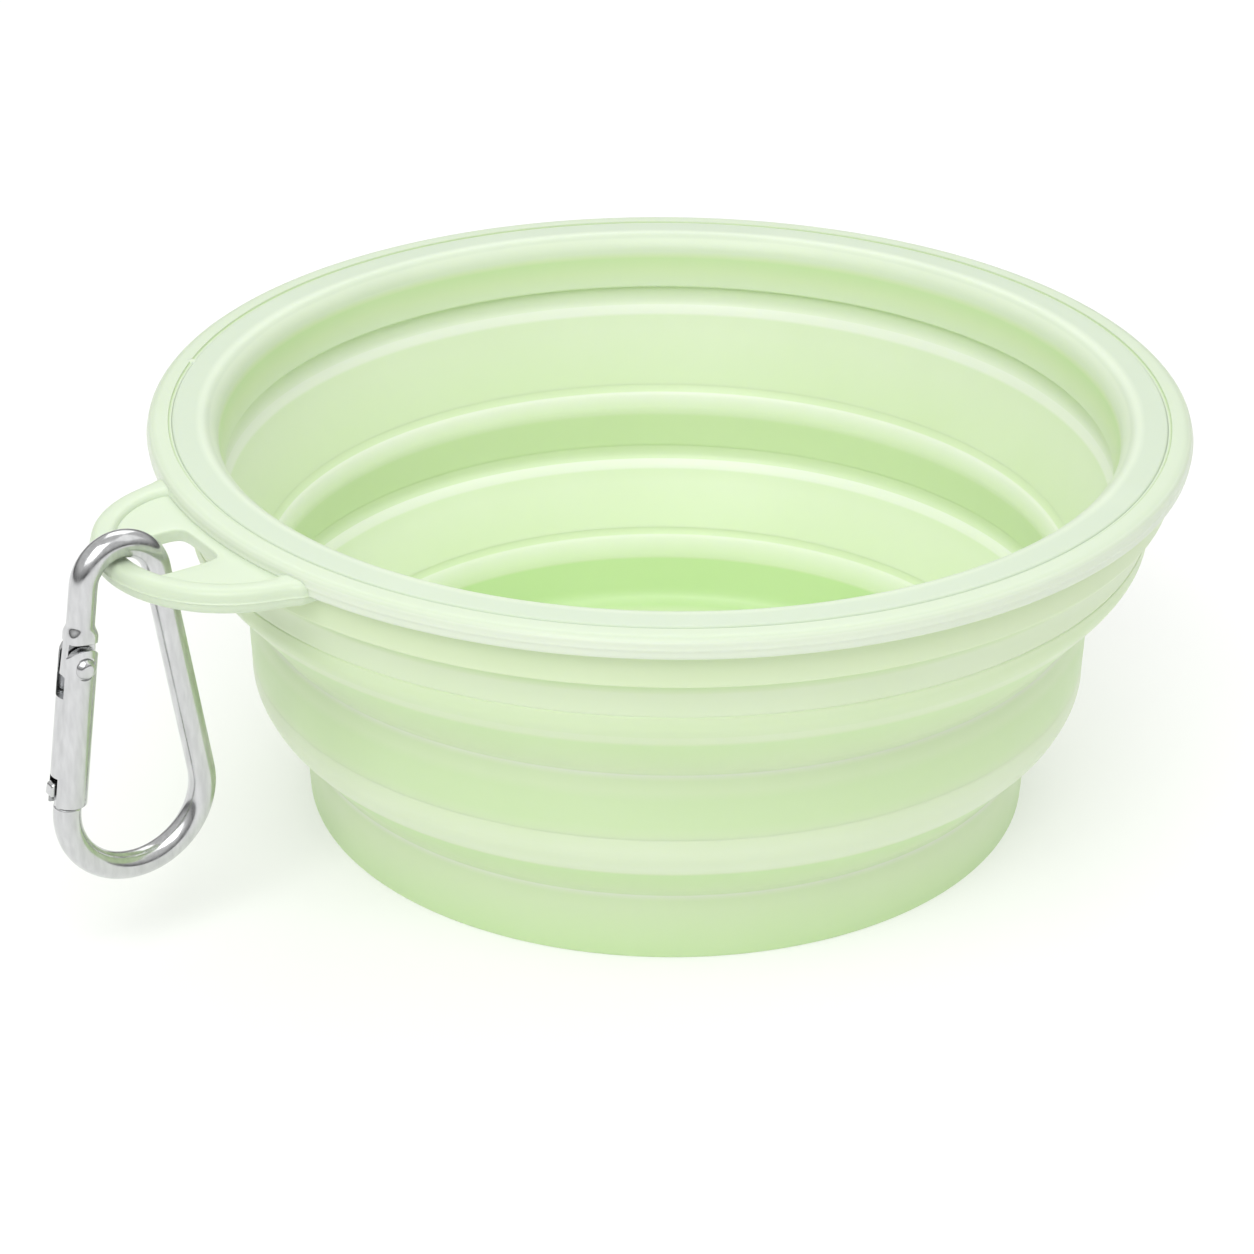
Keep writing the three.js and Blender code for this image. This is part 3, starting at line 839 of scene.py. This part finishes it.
    def upper_web(self) -> None:
        """The upper fold web: an inner skin from recess to crease, and an outer skin from cove to crease."""
        node, bodies = "upper_fold_web", (Body.RIM, Body.MIDDLE)
        self.skin_piece("upper_fold_inside", node, [
            self.upper_tuck.beside(self.skin), self.upper_taper.beside(self.skin, reach=1.0),
            self.recess_foot.beside(self.skin, reach=0.5), self.recess_top.beside(self.skin),
            self.recess_top, self.recess_foot, self.upper_ledge, self.upper_taper, self.upper_crease,
            self.upper_tuck,
        ])
        self.skin_piece("upper_fold_outside", node, [
            self.upper_foot, self.upper_fillet, self.roll_under, self.roll_edge, self.roll_middle,
            self.roll_line, self.cove_groove, self.cove_line, self.cove_middle, self.cove_top,
            *self.outside_back(self.cove_top, self.cove_middle, self.roll_edge, self.upper_foot),
        ])

    def band(self) -> None:
        """The middle band: bead and overhanging wall inside, a slight bulge outside."""
        piece = self.piece("band_moulding", [
            self.band_line, self.band_bulge, self.band_shoulder, self.band_top, self.band_crease,
            self.band_step, self.band_ledge, self.band_edge, self.band_under, self.band_wall_foot,
        ])
        self.finishes.dress(piece, Slot.BOWL, "middle_band", body=Body.MIDDLE)

    def lower_web(self) -> None:
        """The lower fold web: an inner skin from the band's wall to the crease, an outer skin below the band.

        Both tops are lapped a little past the band's edges.
        """
        node, bodies = "lower_fold_web", (Body.MIDDLE, Body.BASE)
        wall_top = self.band_wall_foot.beside(*self.wall_lap)
        self.skin_piece("lower_fold_inside", node, [
            self.lower_tuck.beside(self.skin), self.lower_taper.beside(self.skin, reach=1.0),
            Corner(self.wall_foot.radius + self.skin, self.lower_ledge.height, 0.5),
            wall_top.beside(self.skin, -self.skin),
            wall_top, self.wall_foot, self.lower_ledge, self.lower_taper, self.lower_crease, self.lower_tuck,
        ])
        outer_top = self.band_line.beside(*self.line_lap)
        self.skin_piece("lower_fold_outside", node, [
            self.lower_foot, self.lower_fillet, self.lip_under, self.lip_foot, self.lip_middle, self.lip_line,
            outer_top,
            *self.outside_back(outer_top, self.lip_middle, self.lip_foot, self.lower_foot),
        ])

    def base(self) -> None:
        """The base cup: flat foot, drafted wall and a bead at the top inside."""
        outline = rounded_outline([
            Corner(0, 0), self.base_foot, self.base_shoulder, self.base_top, self.base_crease, self.base_step,
            self.base_ledge, self.base_edge, self.base_under, self.base_floor_corner, self.base_floor_edge,
            self.base_floor_middle,
        ], closed=False)
        piece = mesh_object("base_moulding", revolve(outline))
        self.finishes.dress(piece, Slot.BOWL, "base_cup", body=Body.BASE)

    def build(self) -> None:
        """Builds the whole moulding."""
        self.collar()
        self.upper_web()
        self.band()
        self.lower_web()
        self.base()


def reach_along(start: np.ndarray, ray: np.ndarray, longest: float,
                outside: Callable[[np.ndarray], np.ndarray]) -> np.ndarray:
    """Distance along each ray from a start inside a shape to its edge, found by halving the step.

    Args:
        start: where the rays start.
        ray: unit vectors.
        longest: a length that leads outside.
        outside: tells which points are outside the shape.

    Returns:
        The distance for each ray.
    """
    low, high = np.zeros(len(ray)), np.full(len(ray), longest)
    for _ in range(40):
        middle = (low + high) / 2
        past = outside(start + middle[:, None] * ray)
        low, high = np.where(past, low, middle), np.where(past, middle, high)
    return low


@dataclass
class RimRing:
    """The stiff ring with its hanging tab: ring, border bead, field with a slot, and the bridge in the seam.

    The shoulder's corners are measured in from the outer face and down from the top; their painted light
    levels paint the rounded edge paler than the flat top.
    """

    finishes: Finishes
    radius: float = field(default_factory=lambda: node_box("rim_ring")[1][1])
    top: float = field(default_factory=lambda: node_box("rim_ring")[1][2])
    tab_tip: float = field(default_factory=lambda: -node_box("rim_ring")[0][0])
    tab_foot: float = field(default_factory=lambda: node_box("rim_ring")[0][2])
    ring_height: float = 2.6
    seam_radius: float = 62.2
    seam_bevel: float = 0.06
    seam_edge: float = 0.07
    seam_gap: float = 0.35
    seam_depth: float = 0.2
    foot_round: float = 0.6
    face_painted_light: float = 0.9
    shoulder: tuple[Corner, ...] = (Corner(0.03, 0.65, 0.2, 0.85), Corner(0.30, 0.27, 0.22, 0.65),
                                    Corner(0.95, 0.0, 0.35, 0.5))
    parting_height: float = 1.25
    parting_depth: float = 0.14
    parting_width: float = 0.12
    tab_centre: float = 63.0
    tab_half_width: float = 16.6
    border: float = 3.0
    border_end: float = 1.75
    border_power: float = 0.62
    flare: float = 0.55
    flare_length: float = 1.1
    tab_thickness: float = 3.0
    field_thickness: float = 1.6
    field_edge: float = 0.25
    slot_half_width: float = 4.8
    slot_start: float = 66.5
    slot_margin: float = 0.4
    slot_middle: float = 71.0
    slot_power: float = 7
    bridge_angle: float = 134.1
    bridge_half: tuple[float, float, float] = (0.75, 0.7, 0.7)
    bridge_sink: float = 0.66
    bridge_inset: float = 0.1
    bridge_squareness: float = 4.0

    def ring(self) -> None:
        """The ring: rounded shoulder, outer face painted pale with a fine parting line, and a shallow seam
        groove with a painted shadow line on its ring-side wall.
        """
        foot = self.top - self.ring_height
        line = foot + self.parting_height
        proud = self.parting_depth
        face = self.radius - proud
        piece = mesh_object("rim_band", revolve(rounded_outline([
            Corner(self.seam_radius - self.seam_gap, foot),
            Corner(face, foot, self.foot_round, self.face_painted_light),
            Corner(face, line - 2 * proud, proud, self.face_painted_light),
            Corner(self.radius, line, proud, self.face_painted_light),
            Corner(face, line + 2 * proud, proud, self.face_painted_light),
            *(Corner(face - turn.radius, self.top - turn.height, turn.reach, turn.tone)
              for turn in self.shoulder),
            Corner(self.seam_radius + self.seam_bevel, self.top, self.seam_edge),
            # The groove's ring-side wall at 0.1 and 0 paints a shadow line in the seam, and its floor at 0.6
            # is painted lighter.
            Corner(self.seam_radius, self.top - self.seam_bevel, self.seam_edge, 0.1),
            Corner(self.seam_radius, self.top - self.seam_depth, 0.0, 0.0),
            Corner(self.seam_radius - self.seam_gap, self.top - self.seam_depth, 0.0, 0.6),
        ])))
        self.finishes.dress(piece, Slot.RIM, "rim_ring", body=Body.RIM)

    def border_bead(self) -> None:
        """The tab's border: a rounded bead along a half oval, flared where it runs into the ring.

        The middle line is x = -(c + a cos t), y = b sin t. Its section is a rounded block that widens towards
        both ends, with a fine parting line round its outer side. Points inside the ring are moved out.
        """
        half = self.border / 2
        long_axis = self.tab_tip - self.tab_centre - half
        wide_axis = self.tab_half_width - half
        t = np.linspace(-self.border_end, self.border_end, 195)
        level = np.zeros(len(t))
        middle_height = self.tab_foot + self.tab_thickness / 2
        x = -(self.tab_centre + long_axis * np.cos(t))
        path = np.stack([x, wide_axis * np.sin(t), level + middle_height], axis=1)
        travel = np.stack([long_axis * np.sin(t), wide_axis * np.cos(t), level], axis=1)
        travel = travel / np.linalg.norm(travel, axis=1)[:, None]
        outwards = np.stack([-travel[:, 1], travel[:, 0], level], axis=1)
        to_ring = np.hypot(path[:, 0], path[:, 1]) - self.radius
        flare = np.exp(-np.maximum(to_ring, 0) / self.flare_length)
        close = np.radians([0.12, 0.3, 0.7, 1.6])
        turn = np.concatenate([np.linspace(0, 2 * np.pi, 72, endpoint=False), close, 2 * np.pi - close])
        c, s = block_turn(np.sort(turn)[None, :], self.border_power)
        tall = np.broadcast_to(self.tab_thickness / 2 * s, (len(t), s.shape[1]))
        ridge = self.parting_depth * np.exp(-(tall / self.parting_width) ** 2) * (c > 0)
        wide = half * (1 + self.flare * flare)[:, None] * c + ridge
        rings = path[:, None, :] + wide[..., None] * outwards[:, None, :] + tall[..., None] * UP
        inside = np.hypot(rings[..., 0], rings[..., 1])
        rings[..., :2] *= (np.maximum(inside, self.radius - half) / inside)[..., None]
        piece = mesh_object("tab_border", loft(rings))
        self.finishes.dress(piece, Slot.RIM, body=Body.RIM)

    def tab_field(self) -> None:
        """The tab's thinner field, lofted from its outer edge inside bead and ring to the slot.

        Both edges are read along rays from a point in the slot: the outer one is the nearer of an oval and a
        circle inside the ring, and the slot is |x / a|^p + |y / b|^p = 1 about its middle.
        """
        u = np.linspace(0, 2 * np.pi, 360, endpoint=False)
        ray = np.stack([np.cos(u), np.sin(u)], axis=1)
        start = np.array([-self.slot_middle, 0.0])
        half = self.border / 2
        axes = np.array([self.tab_tip - self.tab_centre - half, self.tab_half_width - half])
        slot_end = self.tab_tip - half - self.slot_margin
        slot_half = np.array([(slot_end - self.slot_start) / 2, self.slot_half_width])
        slot_place = np.array([-(slot_end + self.slot_start) / 2, 0.0])

        def past_field(point: np.ndarray) -> np.ndarray:
            """Whether each point is outside the oval or well inside the ring."""
            oval = ((point + [self.tab_centre, 0]) / axes) ** 2
            return (oval.sum(1) > 1) | (np.hypot(point[:, 0], point[:, 1]) < self.radius - half)

        def past_slot(point: np.ndarray) -> np.ndarray:
            """Whether each point is outside the slot."""
            return (np.abs((point - slot_place) / slot_half) ** self.slot_power).sum(1) > 1

        outer = reach_along(start, ray, 2 * self.tab_half_width, past_field)
        inner = reach_along(start, ray, 2 * self.tab_half_width, past_slot)
        top = self.tab_foot + (self.tab_thickness + self.field_thickness) / 2
        low = top - self.field_thickness
        edge = self.field_edge
        reach = outer[None, :] + (inner + edge - outer)[None, :] * np.linspace(0, 1, 7)[:, None]
        bend = np.linspace(0, np.pi / 2, 6)[1:, None]
        lip = inner[None, :] + edge * (1 - np.sin(bend))
        lip_drop = edge * (1 - np.cos(bend)) * np.ones_like(u)[None, :]
        upper_reach = np.vstack([reach, lip])
        upper_height = np.vstack([np.full_like(reach, top), top - lip_drop])
        radius = np.vstack([upper_reach, upper_reach[::-1]])
        height = np.vstack([upper_height, (low + top) - upper_height[::-1]])
        points = np.concatenate([start + radius[..., None] * ray, height[..., None]], axis=-1)
        grid = Grid(points.reshape(-1, 3), wrap_quads(len(radius), len(u), close_rows=True))
        piece = mesh_object("tab_field", grid)
        self.finishes.dress(piece, Slot.RIM, body=Body.RIM)

    def bridge(self) -> None:
        """A bridge that breaks the seam: a block whose section shrinks to its ends by sqrt(1 - t^4)."""
        angle = math.radians(self.bridge_angle)
        outwards = np.array([math.cos(angle), math.sin(angle), 0])
        along = np.array([-math.sin(angle), math.cos(angle), 0])
        half_across, half_height, half_length = self.bridge_half
        t = np.linspace(-1, 1, 21)
        size = (1 - np.abs(t) ** 4) ** 0.5 + 1e-3
        middle = outwards * (self.seam_radius - self.bridge_inset) + UP * (self.top - self.bridge_sink)
        grid = sweep(middle + np.outer(t * half_length, along), np.tile(outwards, (len(t), 1)),
                     np.tile(-UP, (len(t), 1)), half_across * size, half_height * size,
                     np.full(len(t), self.bridge_squareness), 24)
        piece = mesh_object("seam_bridge", grid)
        self.finishes.dress(piece, Slot.RIM, body=Body.RIM)

    def build(self) -> None:
        """Builds the ring and its tab."""
        self.ring()
        self.border_bead()
        self.tab_field()
        self.bridge()


@dataclass
class Carabiner:
    """The wire loop with its sprung gate: hook, gate, rivet, plunger and spring.

    The loop's own frame has its origin in the tab's bar, X out from the bowl and Z up. The gate's frame has
    its origin in the rivet and Z up along the gate.
    """

    finishes: Finishes
    bar_half: float = 1.5
    wire: float = 3.3
    wire_edge: float = 0.22
    top_bend: float = 4.7
    bottom_bend: float = 8.9
    spacing: float = 28.4
    pivot_distance: float = 9.4
    seat_gap: float = 0.3
    nose_stub: float = 0.5
    gate_radius: float = 2.25
    gate_head: float = 2.3
    head_share: float = 0.985
    gate_edge: float = 0.25
    shoulder_length: float = 1.3
    shoulder_blend: float = 0.9
    shoulder_lean: float = 0.08
    shoulder_squareness: float = 1.6
    tang_half_width: float = 1.95
    tang_half: float = 0.7
    tang_toe: float = 1.6
    tang_overlap: float = 0.8
    tang_taper: float = 0.2
    heel: float = 1.1
    plate_edge: float = 0.12
    nose_half: float = 0.65
    nose_length: float = 3.4
    nose_root: float = 0.6
    barb_reach: float = 2.7
    slot_floor: float = -2.3
    slot_play: float = 0.25
    window_floor: float = -4.0
    window_start: float = 0.4
    window_lap: float = 0.5
    latch_play: float = 0.3
    latch_back: float = 1.4
    bore_radius: float = 1.3
    bore_depth: float = 8.8
    bore_lap: float = 0.3
    rivet_radius: float = 0.8
    rivet_head: float = 1.25
    rivet_seat: float = 2.05
    rivet_dome: float = 0.75
    rivet_lift: float = 0.03
    rivet_side: float = 0.2
    rivet_crown: float = 0.62
    head_play: float = 0.2
    pin_play: float = 0.1
    plunger_radius: float = 1.05
    plunger_length: float = 2.6
    spring_wire: float = 0.4
    spring_turns: int = 6

    def __post_init__(self) -> None:
        """Works out the loop's slant, the rivet's place, the gate's reach and both frames."""
        low = node_box("rim_ring")[0]
        self.slant = math.asin((self.bottom_bend - self.top_bend) / self.spacing)
        self.top_z = self.bar_half + self.seat_gap + self.wire / 2 - self.top_bend
        self.bottom_z = self.top_z - self.spacing
        cos, sin = math.cos(self.slant), math.sin(self.slant)
        self.down = np.array([sin, -cos])
        side_top = np.array([self.top_bend * cos, self.top_z + self.top_bend * sin])
        self.pivot = side_top + self.pivot_distance * self.down
        self.reach = self.spacing * cos - self.pivot_distance - self.nose_stub - self.seat_gap
        self.loop_turn = np.diag([-1.0, -1.0, 1.0])
        self.loop_place = np.array([low[0] + self.bar_half, 0.0, low[2] + self.bar_half])
        self.gate_turn = self.loop_turn @ np.array([[cos, 0, -sin], [0, 1, 0], [sin, 0, cos]])
        self.gate_place = self.loop_turn @ np.array([self.pivot[0], 0, self.pivot[1]]) + self.loop_place

    def placed(self, name: str, grid: Grid) -> bpy.types.Object:
        """A piece made of a surface in the gate's frame, put in its place."""
        return mesh_object(name, moved(grid, self.gate_turn, self.gate_place))

    def wire_line(self) -> tuple[np.ndarray, np.ndarray, np.ndarray, np.ndarray]:
        """The hook's middle line from the nose round both bends to the shoulder.

        Returns:
            Stops in the loop's frame, directions of travel, distance to the nose end and to the shoulder end.
        """
        nose = self.pivot + (self.reach + self.seat_gap) * self.down
        low = np.linspace(self.slant, -np.pi - self.slant, 120)
        high = np.linspace(np.pi - self.slant, self.slant, 84)
        lower = self.bottom_bend * np.stack([np.cos(low), np.sin(low)], axis=1) + [0, self.bottom_z]
        upper = self.top_bend * np.stack([np.cos(high), np.sin(high)], axis=1) + [0, self.top_z]
        end = self.pivot - (self.gate_head + self.seat_gap) * self.down
        step = np.linspace(0, 1, 41)[1:, None]
        ease = np.linspace(0, 1, 9)[:-1, None] ** 2
        back = lower[-1] + (upper[0] - lower[-1]) * step[:-1]
        front = upper[-1] + (end - upper[-1]) * step
        line = np.vstack([nose + (lower[0] - nose) * ease, lower, back, upper, front])
        travel = np.gradient(line, axis=0)
        travel = travel / np.linalg.norm(travel, axis=1)[:, None]
        along = np.concatenate([[0], np.cumsum(np.linalg.norm(np.diff(line, axis=0), axis=1))])
        return line, travel, along, along[-1] - along

    def hook(self) -> None:
        """The bent wire, its flattened shoulder and tang at the hinge, and the barbed nose at the latch."""
        line, travel, from_nose, from_shoulder = self.wire_line()
        zero = np.zeros(len(line))
        path = np.stack([line[:, 0], zero, line[:, 1]], axis=1)
        across = np.stack([travel[:, 1], zero, -travel[:, 0]], axis=1)
        side = np.tile([0.0, 1.0, 0.0], (len(line), 1))
        radius = self.wire / 2
        edge = self.wire_edge
        nearest = np.minimum(from_nose, from_shoulder)
        eased = edge * (1 - np.sqrt(np.clip(1 - (1 - np.clip(nearest / edge, 0, 1)) ** 2, 0, 1)))
        flat_end = self.shoulder_length + self.shoulder_blend
        flat = np.clip((flat_end - from_shoulder) / self.shoulder_length, 0, 1)
        flat = flat * flat * (3 - 2 * flat)
        path = path + (self.shoulder_lean * flat)[:, None] * across
        half_across = radius + (self.tang_half_width - self.shoulder_lean - radius) * flat - eased
        wire = sweep(path, across, side, half_across, radius - eased, 2 + self.shoulder_squareness * flat, 56)
        wide, head, taper = self.tang_half_width, self.gate_head + self.tang_overlap, self.tang_taper
        tang = plate(rounded_outline([
            Corner(-wide, -0.5, 0.9), Corner(-self.heel, -self.tang_toe, 0.7),
            Corner(wide, -self.tang_toe, 0.35), Corner(wide - taper, head), Corner(taper - wide, head),
        ]), self.tang_half, self.plate_edge)
        root = -self.reach - self.seat_gap
        nose = plate(rounded_outline([
            Corner(-self.heel, root - self.nose_root),
            Corner(1.5, root - self.nose_root),
            Corner(1.55, root + 0.42 * self.nose_length, 0.5),
            Corner(self.barb_reach, root + 0.5 * self.nose_length, 0.35),
            Corner(self.barb_reach - 0.15, root + 0.97 * self.nose_length, 0.5),
            Corner(-self.heel, root + self.nose_length, 0.5),
        ]), self.nose_half, self.plate_edge)
        fittings = moved(joined(tang, nose), self.gate_turn, self.gate_place)
        piece = mesh_object("hook_wire", joined(moved(wire, self.loop_turn, self.loop_place), fittings))
        self.finishes.dress(piece, Slot.METAL, "carabiner_hook", body=Body.CARABINER)

    @staticmethod
    def block(left: float, right: float, low: float, high: float, half: float) -> Grid:
        """A block in the gate's frame from left to right and low to high, half thick on each side."""
        return plate(np.array([[left, low], [right, low], [right, high], [left, high]]), half, edge=0.02)

    def gate(self) -> None:
        """The gate: a tube with a round head, slotted for the tang and the nose, bored for the spring.

        At height z above the rivet the head is a circle cut off at x = sqrt(head^2 - z^2) on both sides.
        """
        turn = np.linspace(0, 2 * np.pi, 72, endpoint=False)
        foot = -self.reach
        edge = self.gate_edge
        ease = np.linspace(0, np.pi / 2, 5)
        shaft = np.linspace(foot + edge, 0, 40)[1:-1]
        head = np.linspace(0, self.head_share * self.gate_head, 22)
        height = np.concatenate([foot + edge * (1 - np.cos(ease)), shaft, head])
        inset = np.concatenate([edge * (1 - np.sin(ease)), np.zeros(len(shaft) + len(head))])
        radius = (self.gate_radius - inset)[:, None]
        cut_off = np.sqrt(np.maximum(self.gate_head ** 2 - np.maximum(height, 0) ** 2, 0))[:, None]
        x = np.clip(radius * np.cos(turn), -cut_off, cut_off)
        y = radius * np.sin(turn)
        body = loft(np.stack([x, y, np.broadcast_to(height[:, None], x.shape)], axis=-1))
        piece = self.placed("gate_tube", body)
        far = 2 * self.gate_radius
        slot_half = self.tang_half + self.slot_play
        latch_top = foot - self.seat_gap + self.nose_length + self.nose_root
        window_top = self.slot_floor + self.window_lap
        bore_top = self.slot_floor + self.bore_lap
        flat = self.rivet_head + self.head_play
        across = (drum(self.rivet_radius + self.pin_play, -far, far, 40),
                  drum(flat, self.rivet_seat, far, 48),
                  drum(flat, -far, -self.rivet_seat, 48))
        cutters = (
            self.block(-far, far, self.slot_floor, far, slot_half),
            self.block(self.window_start, far, self.window_floor, window_top, slot_half),
            self.block(-self.latch_back, far, foot - far, latch_top, self.nose_half + self.latch_play),
            drum(self.bore_radius, self.slot_floor - self.bore_depth, bore_top, 40),
            *(moved(grid, Z_TO_Y, np.zeros(3)) for grid in across),
        )
        cut(piece, [self.placed("cutter", grid) for grid in cutters])
        ease_edges(piece, width=0.14, angle=35)
        self.finishes.dress(piece, Slot.METAL, "carabiner_gate", body=Body.GATE)

    def rivet(self) -> None:
        """The rivet along Y: a shank and two domed heads on the gate's flats."""
        seat = self.rivet_seat + self.rivet_lift
        top = seat + self.rivet_dome
        rise = seat + self.rivet_side
        crown = self.rivet_crown * self.rivet_head
        outline = rounded_outline([
            Corner(0, -top), Corner(crown, -top, 0.35), Corner(self.rivet_head, -rise, 0.3),
            Corner(self.rivet_head, -seat), Corner(self.rivet_radius, -seat), Corner(self.rivet_radius, seat),
            Corner(self.rivet_head, seat), Corner(self.rivet_head, rise, 0.3), Corner(crown, top, 0.35),
            Corner(0, top),
        ], closed=False, spacing=0.15)
        piece = self.placed("gate_pin", moved(revolve(outline, 48), Z_TO_Y, np.zeros(3)))
        self.finishes.dress(piece, Slot.METAL, "gate_rivet", body=Body.CARABINER)

    def plunger(self) -> None:
        """The plunger: a pin with a domed tip that presses on the tang's toe."""
        tip = -(self.tang_toe + self.seat_gap)
        foot = tip - self.plunger_length
        outline = rounded_outline([
            Corner(0, foot), Corner(self.plunger_radius, foot, 0.2), Corner(self.plunger_radius, tip, 0.7),
            Corner(0, tip),
        ], closed=False, spacing=0.15)
        piece = self.placed("plunger_pin", revolve(outline, 40))
        self.finishes.dress(piece, Slot.SPRING, "spring_plunger", body=Body.PLUNGER)

    def spring(self) -> None:
        """The spring: a wire on the helix x = r cos a, y = r sin a, z even with a, up to the plunger."""
        half = self.spring_wire / 2
        low = self.slot_floor - self.bore_depth + self.seat_gap + half
        high = -(self.tang_toe + self.seat_gap) - self.plunger_length - self.seat_gap - half
        radius = self.plunger_radius - half
        share = np.linspace(0, 1, self.spring_turns * 40 + 1)
        angle = 2 * np.pi * self.spring_turns * share
        path = np.stack([radius * np.cos(angle), radius * np.sin(angle), low + (high - low) * share], axis=1)
        climb = (high - low) / (2 * np.pi * self.spring_turns * radius)
        travel = np.stack([-np.sin(angle), np.cos(angle), np.full(len(angle), climb)], axis=1)
        travel = travel / math.hypot(1, climb)
        across = np.stack([np.cos(angle), np.sin(angle), np.zeros(len(angle))], axis=1)
        size = np.full(len(angle), half)
        coil = sweep(path, across, np.cross(travel, across), size, size, np.full(len(angle), 2.0), 14)
        piece = self.placed("gate_coil", coil)
        self.finishes.dress(piece, Slot.SPRING, "gate_spring")
        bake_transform(piece)

    def build(self) -> None:
        """Builds the carabiner."""
        self.hook()
        self.gate()
        self.rivet()
        self.plunger()
        self.spring()


@dataclass(frozen=True)
class Lamp:
    """A square soft light aimed at the bowl: its place and side in millimetres, and its power in watts."""

    name: str
    place: tuple[float, float, float]
    size: float
    power: float

    def build(self) -> None:
        """Hangs the light."""
        data = bpy.data.lights.new(self.name, "AREA")
        data.shape = "SQUARE"
        data.size = self.size * MM
        data.energy = self.power
        light = bpy.data.objects.new(self.name, data)
        light.location = (np.array(self.place) * MM).tolist()
        light.rotation_mode = "QUATERNION"
        light.rotation_quaternion = (-Vector(light.location)).to_track_quat("-Z", "Y")
        bpy.context.scene.collection.objects.link(light)


@dataclass
class Studio:
    """Plain pale floor, soft light, and a camera at the photograph's angle.

    Azimuth, elevation and roll are in degrees, pan and tilt in radians, and lengths in millimetres.
    """

    azimuth: float = -36.0
    elevation: float = 26.40
    distance: float = 440.0
    target_height: float = 30.0
    pan: float = -0.01160
    tilt: float = -0.01903
    roll: float = 0.656
    focal_pixels: float = 3434.0
    frame_pixels: float = 1254.0
    sensor: float = 36.0
    floor_half: float = 40000.0
    floor_shades: tuple[float, float] = (0.62, 0.64)
    floor_glow: float = 0.38
    sky_strength: float = 0.79
    sky_stops: tuple[tuple[float, float], ...] = ((0.04, 0.10), (0.42, 0.85))
    lamps: tuple[Lamp, ...] = (Lamp("left_light", (-430.0, -330.0, 740.0), 620.0, 4.0),
                               Lamp("right_light", (420.0, -330.0, 700.0), 620.0, 0.7),
                               Lamp("back_light", (250.0, 420.0, 620.0), 500.0, 1.15))

    def camera(self) -> None:
        """Places the camera on its circle round the bowl, then pans, tilts and rolls it."""
        a, e, roll = math.radians(self.azimuth), math.radians(self.elevation), math.radians(self.roll)
        forward = np.array([-math.sin(a) * math.cos(e), math.cos(a) * math.cos(e), -math.sin(e)])
        right = np.array([math.cos(a), math.sin(a), 0.0])
        up = np.cross(right, forward)
        place = UP * self.target_height - forward * self.distance
        right, forward = (math.cos(self.pan) * right - math.sin(self.pan) * forward,
                          math.sin(self.pan) * right + math.cos(self.pan) * forward)
        up, forward = (math.cos(self.tilt) * up - math.sin(self.tilt) * forward,
                       math.sin(self.tilt) * up + math.cos(self.tilt) * forward)
        right, up = (math.cos(roll) * right + math.sin(roll) * up,
                     math.cos(roll) * up - math.sin(roll) * right)
        data = bpy.data.cameras.new("photo_camera")
        data.sensor_width = self.sensor
        data.lens = self.sensor * self.focal_pixels / self.frame_pixels
        data.clip_start = 0.01
        camera = bpy.data.objects.new("photo_camera", data)
        turn = Matrix(np.stack([right, up, -forward], axis=1).tolist()).to_4x4()
        camera.matrix_world = Matrix.Translation((place * MM).tolist()) @ turn
        bpy.context.scene.collection.objects.link(camera)
        bpy.context.scene.camera = camera

    def floor(self) -> None:
        """A wide pale floor under the bowl."""
        half = self.floor_half
        corner = np.array([[-half, -half, 0], [half, -half, 0], [half, half, 0], [-half, half, 0]])
        floor = mesh_object("floor", Grid(corner, np.array([[0, 1, 2, 3]])))
        sheet = NodeSheet("pale_floor")
        dark, light = self.floor_shades
        shades = sheet.ramp(sheet.noise(3, 2), dict(zip(NOISE_SPAN, ((dark,) * 3, (light,) * 3))))
        sheet.fill(sheet.shader, Base_Color=shades, Roughness=0.9, Specular_IOR_Level=0.1,
                   Emission_Color=(1, 1, 1, 1), Emission_Strength=self.floor_glow)
        floor.data.materials.append(sheet.material)

    def sky(self) -> None:
        """A soft white surround, brighter overhead than at the horizon."""
        world = bpy.data.worlds.new("soft_surround")
        world.use_nodes = True
        bpy.context.scene.world = world
        tree = world.node_tree
        background = tree.nodes["Background"]
        split = tree.nodes.new("ShaderNodeSeparateXYZ")
        ramp = tree.nodes.new("ShaderNodeValToRGB")
        set_stops(ramp.color_ramp, {height: (shade,) * 3 for height, shade in self.sky_stops})
        tree.links.new(tree.nodes.new("ShaderNodeTexCoord").outputs["Generated"], split.inputs["Vector"])
        tree.links.new(split.outputs["Z"], ramp.inputs["Fac"])
        tree.links.new(ramp.outputs["Color"], background.inputs["Color"])
        background.inputs["Strength"].default_value = self.sky_strength

    def build(self) -> None:
        """Builds the stage."""
        self.camera()
        self.floor()
        self.sky()
        for lamp in self.lamps:
            lamp.build()
        bpy.context.scene.view_settings.view_transform = "Standard"


def main() -> None:
    """Builds the stage, the bowl, the ring and the carabiner."""
    Studio().build()
    finishes = Finishes.make()
    SoftMoulding(finishes).build()
    RimRing(finishes).build()
    Carabiner(finishes).build()


if __name__ == "__main__":
    main()
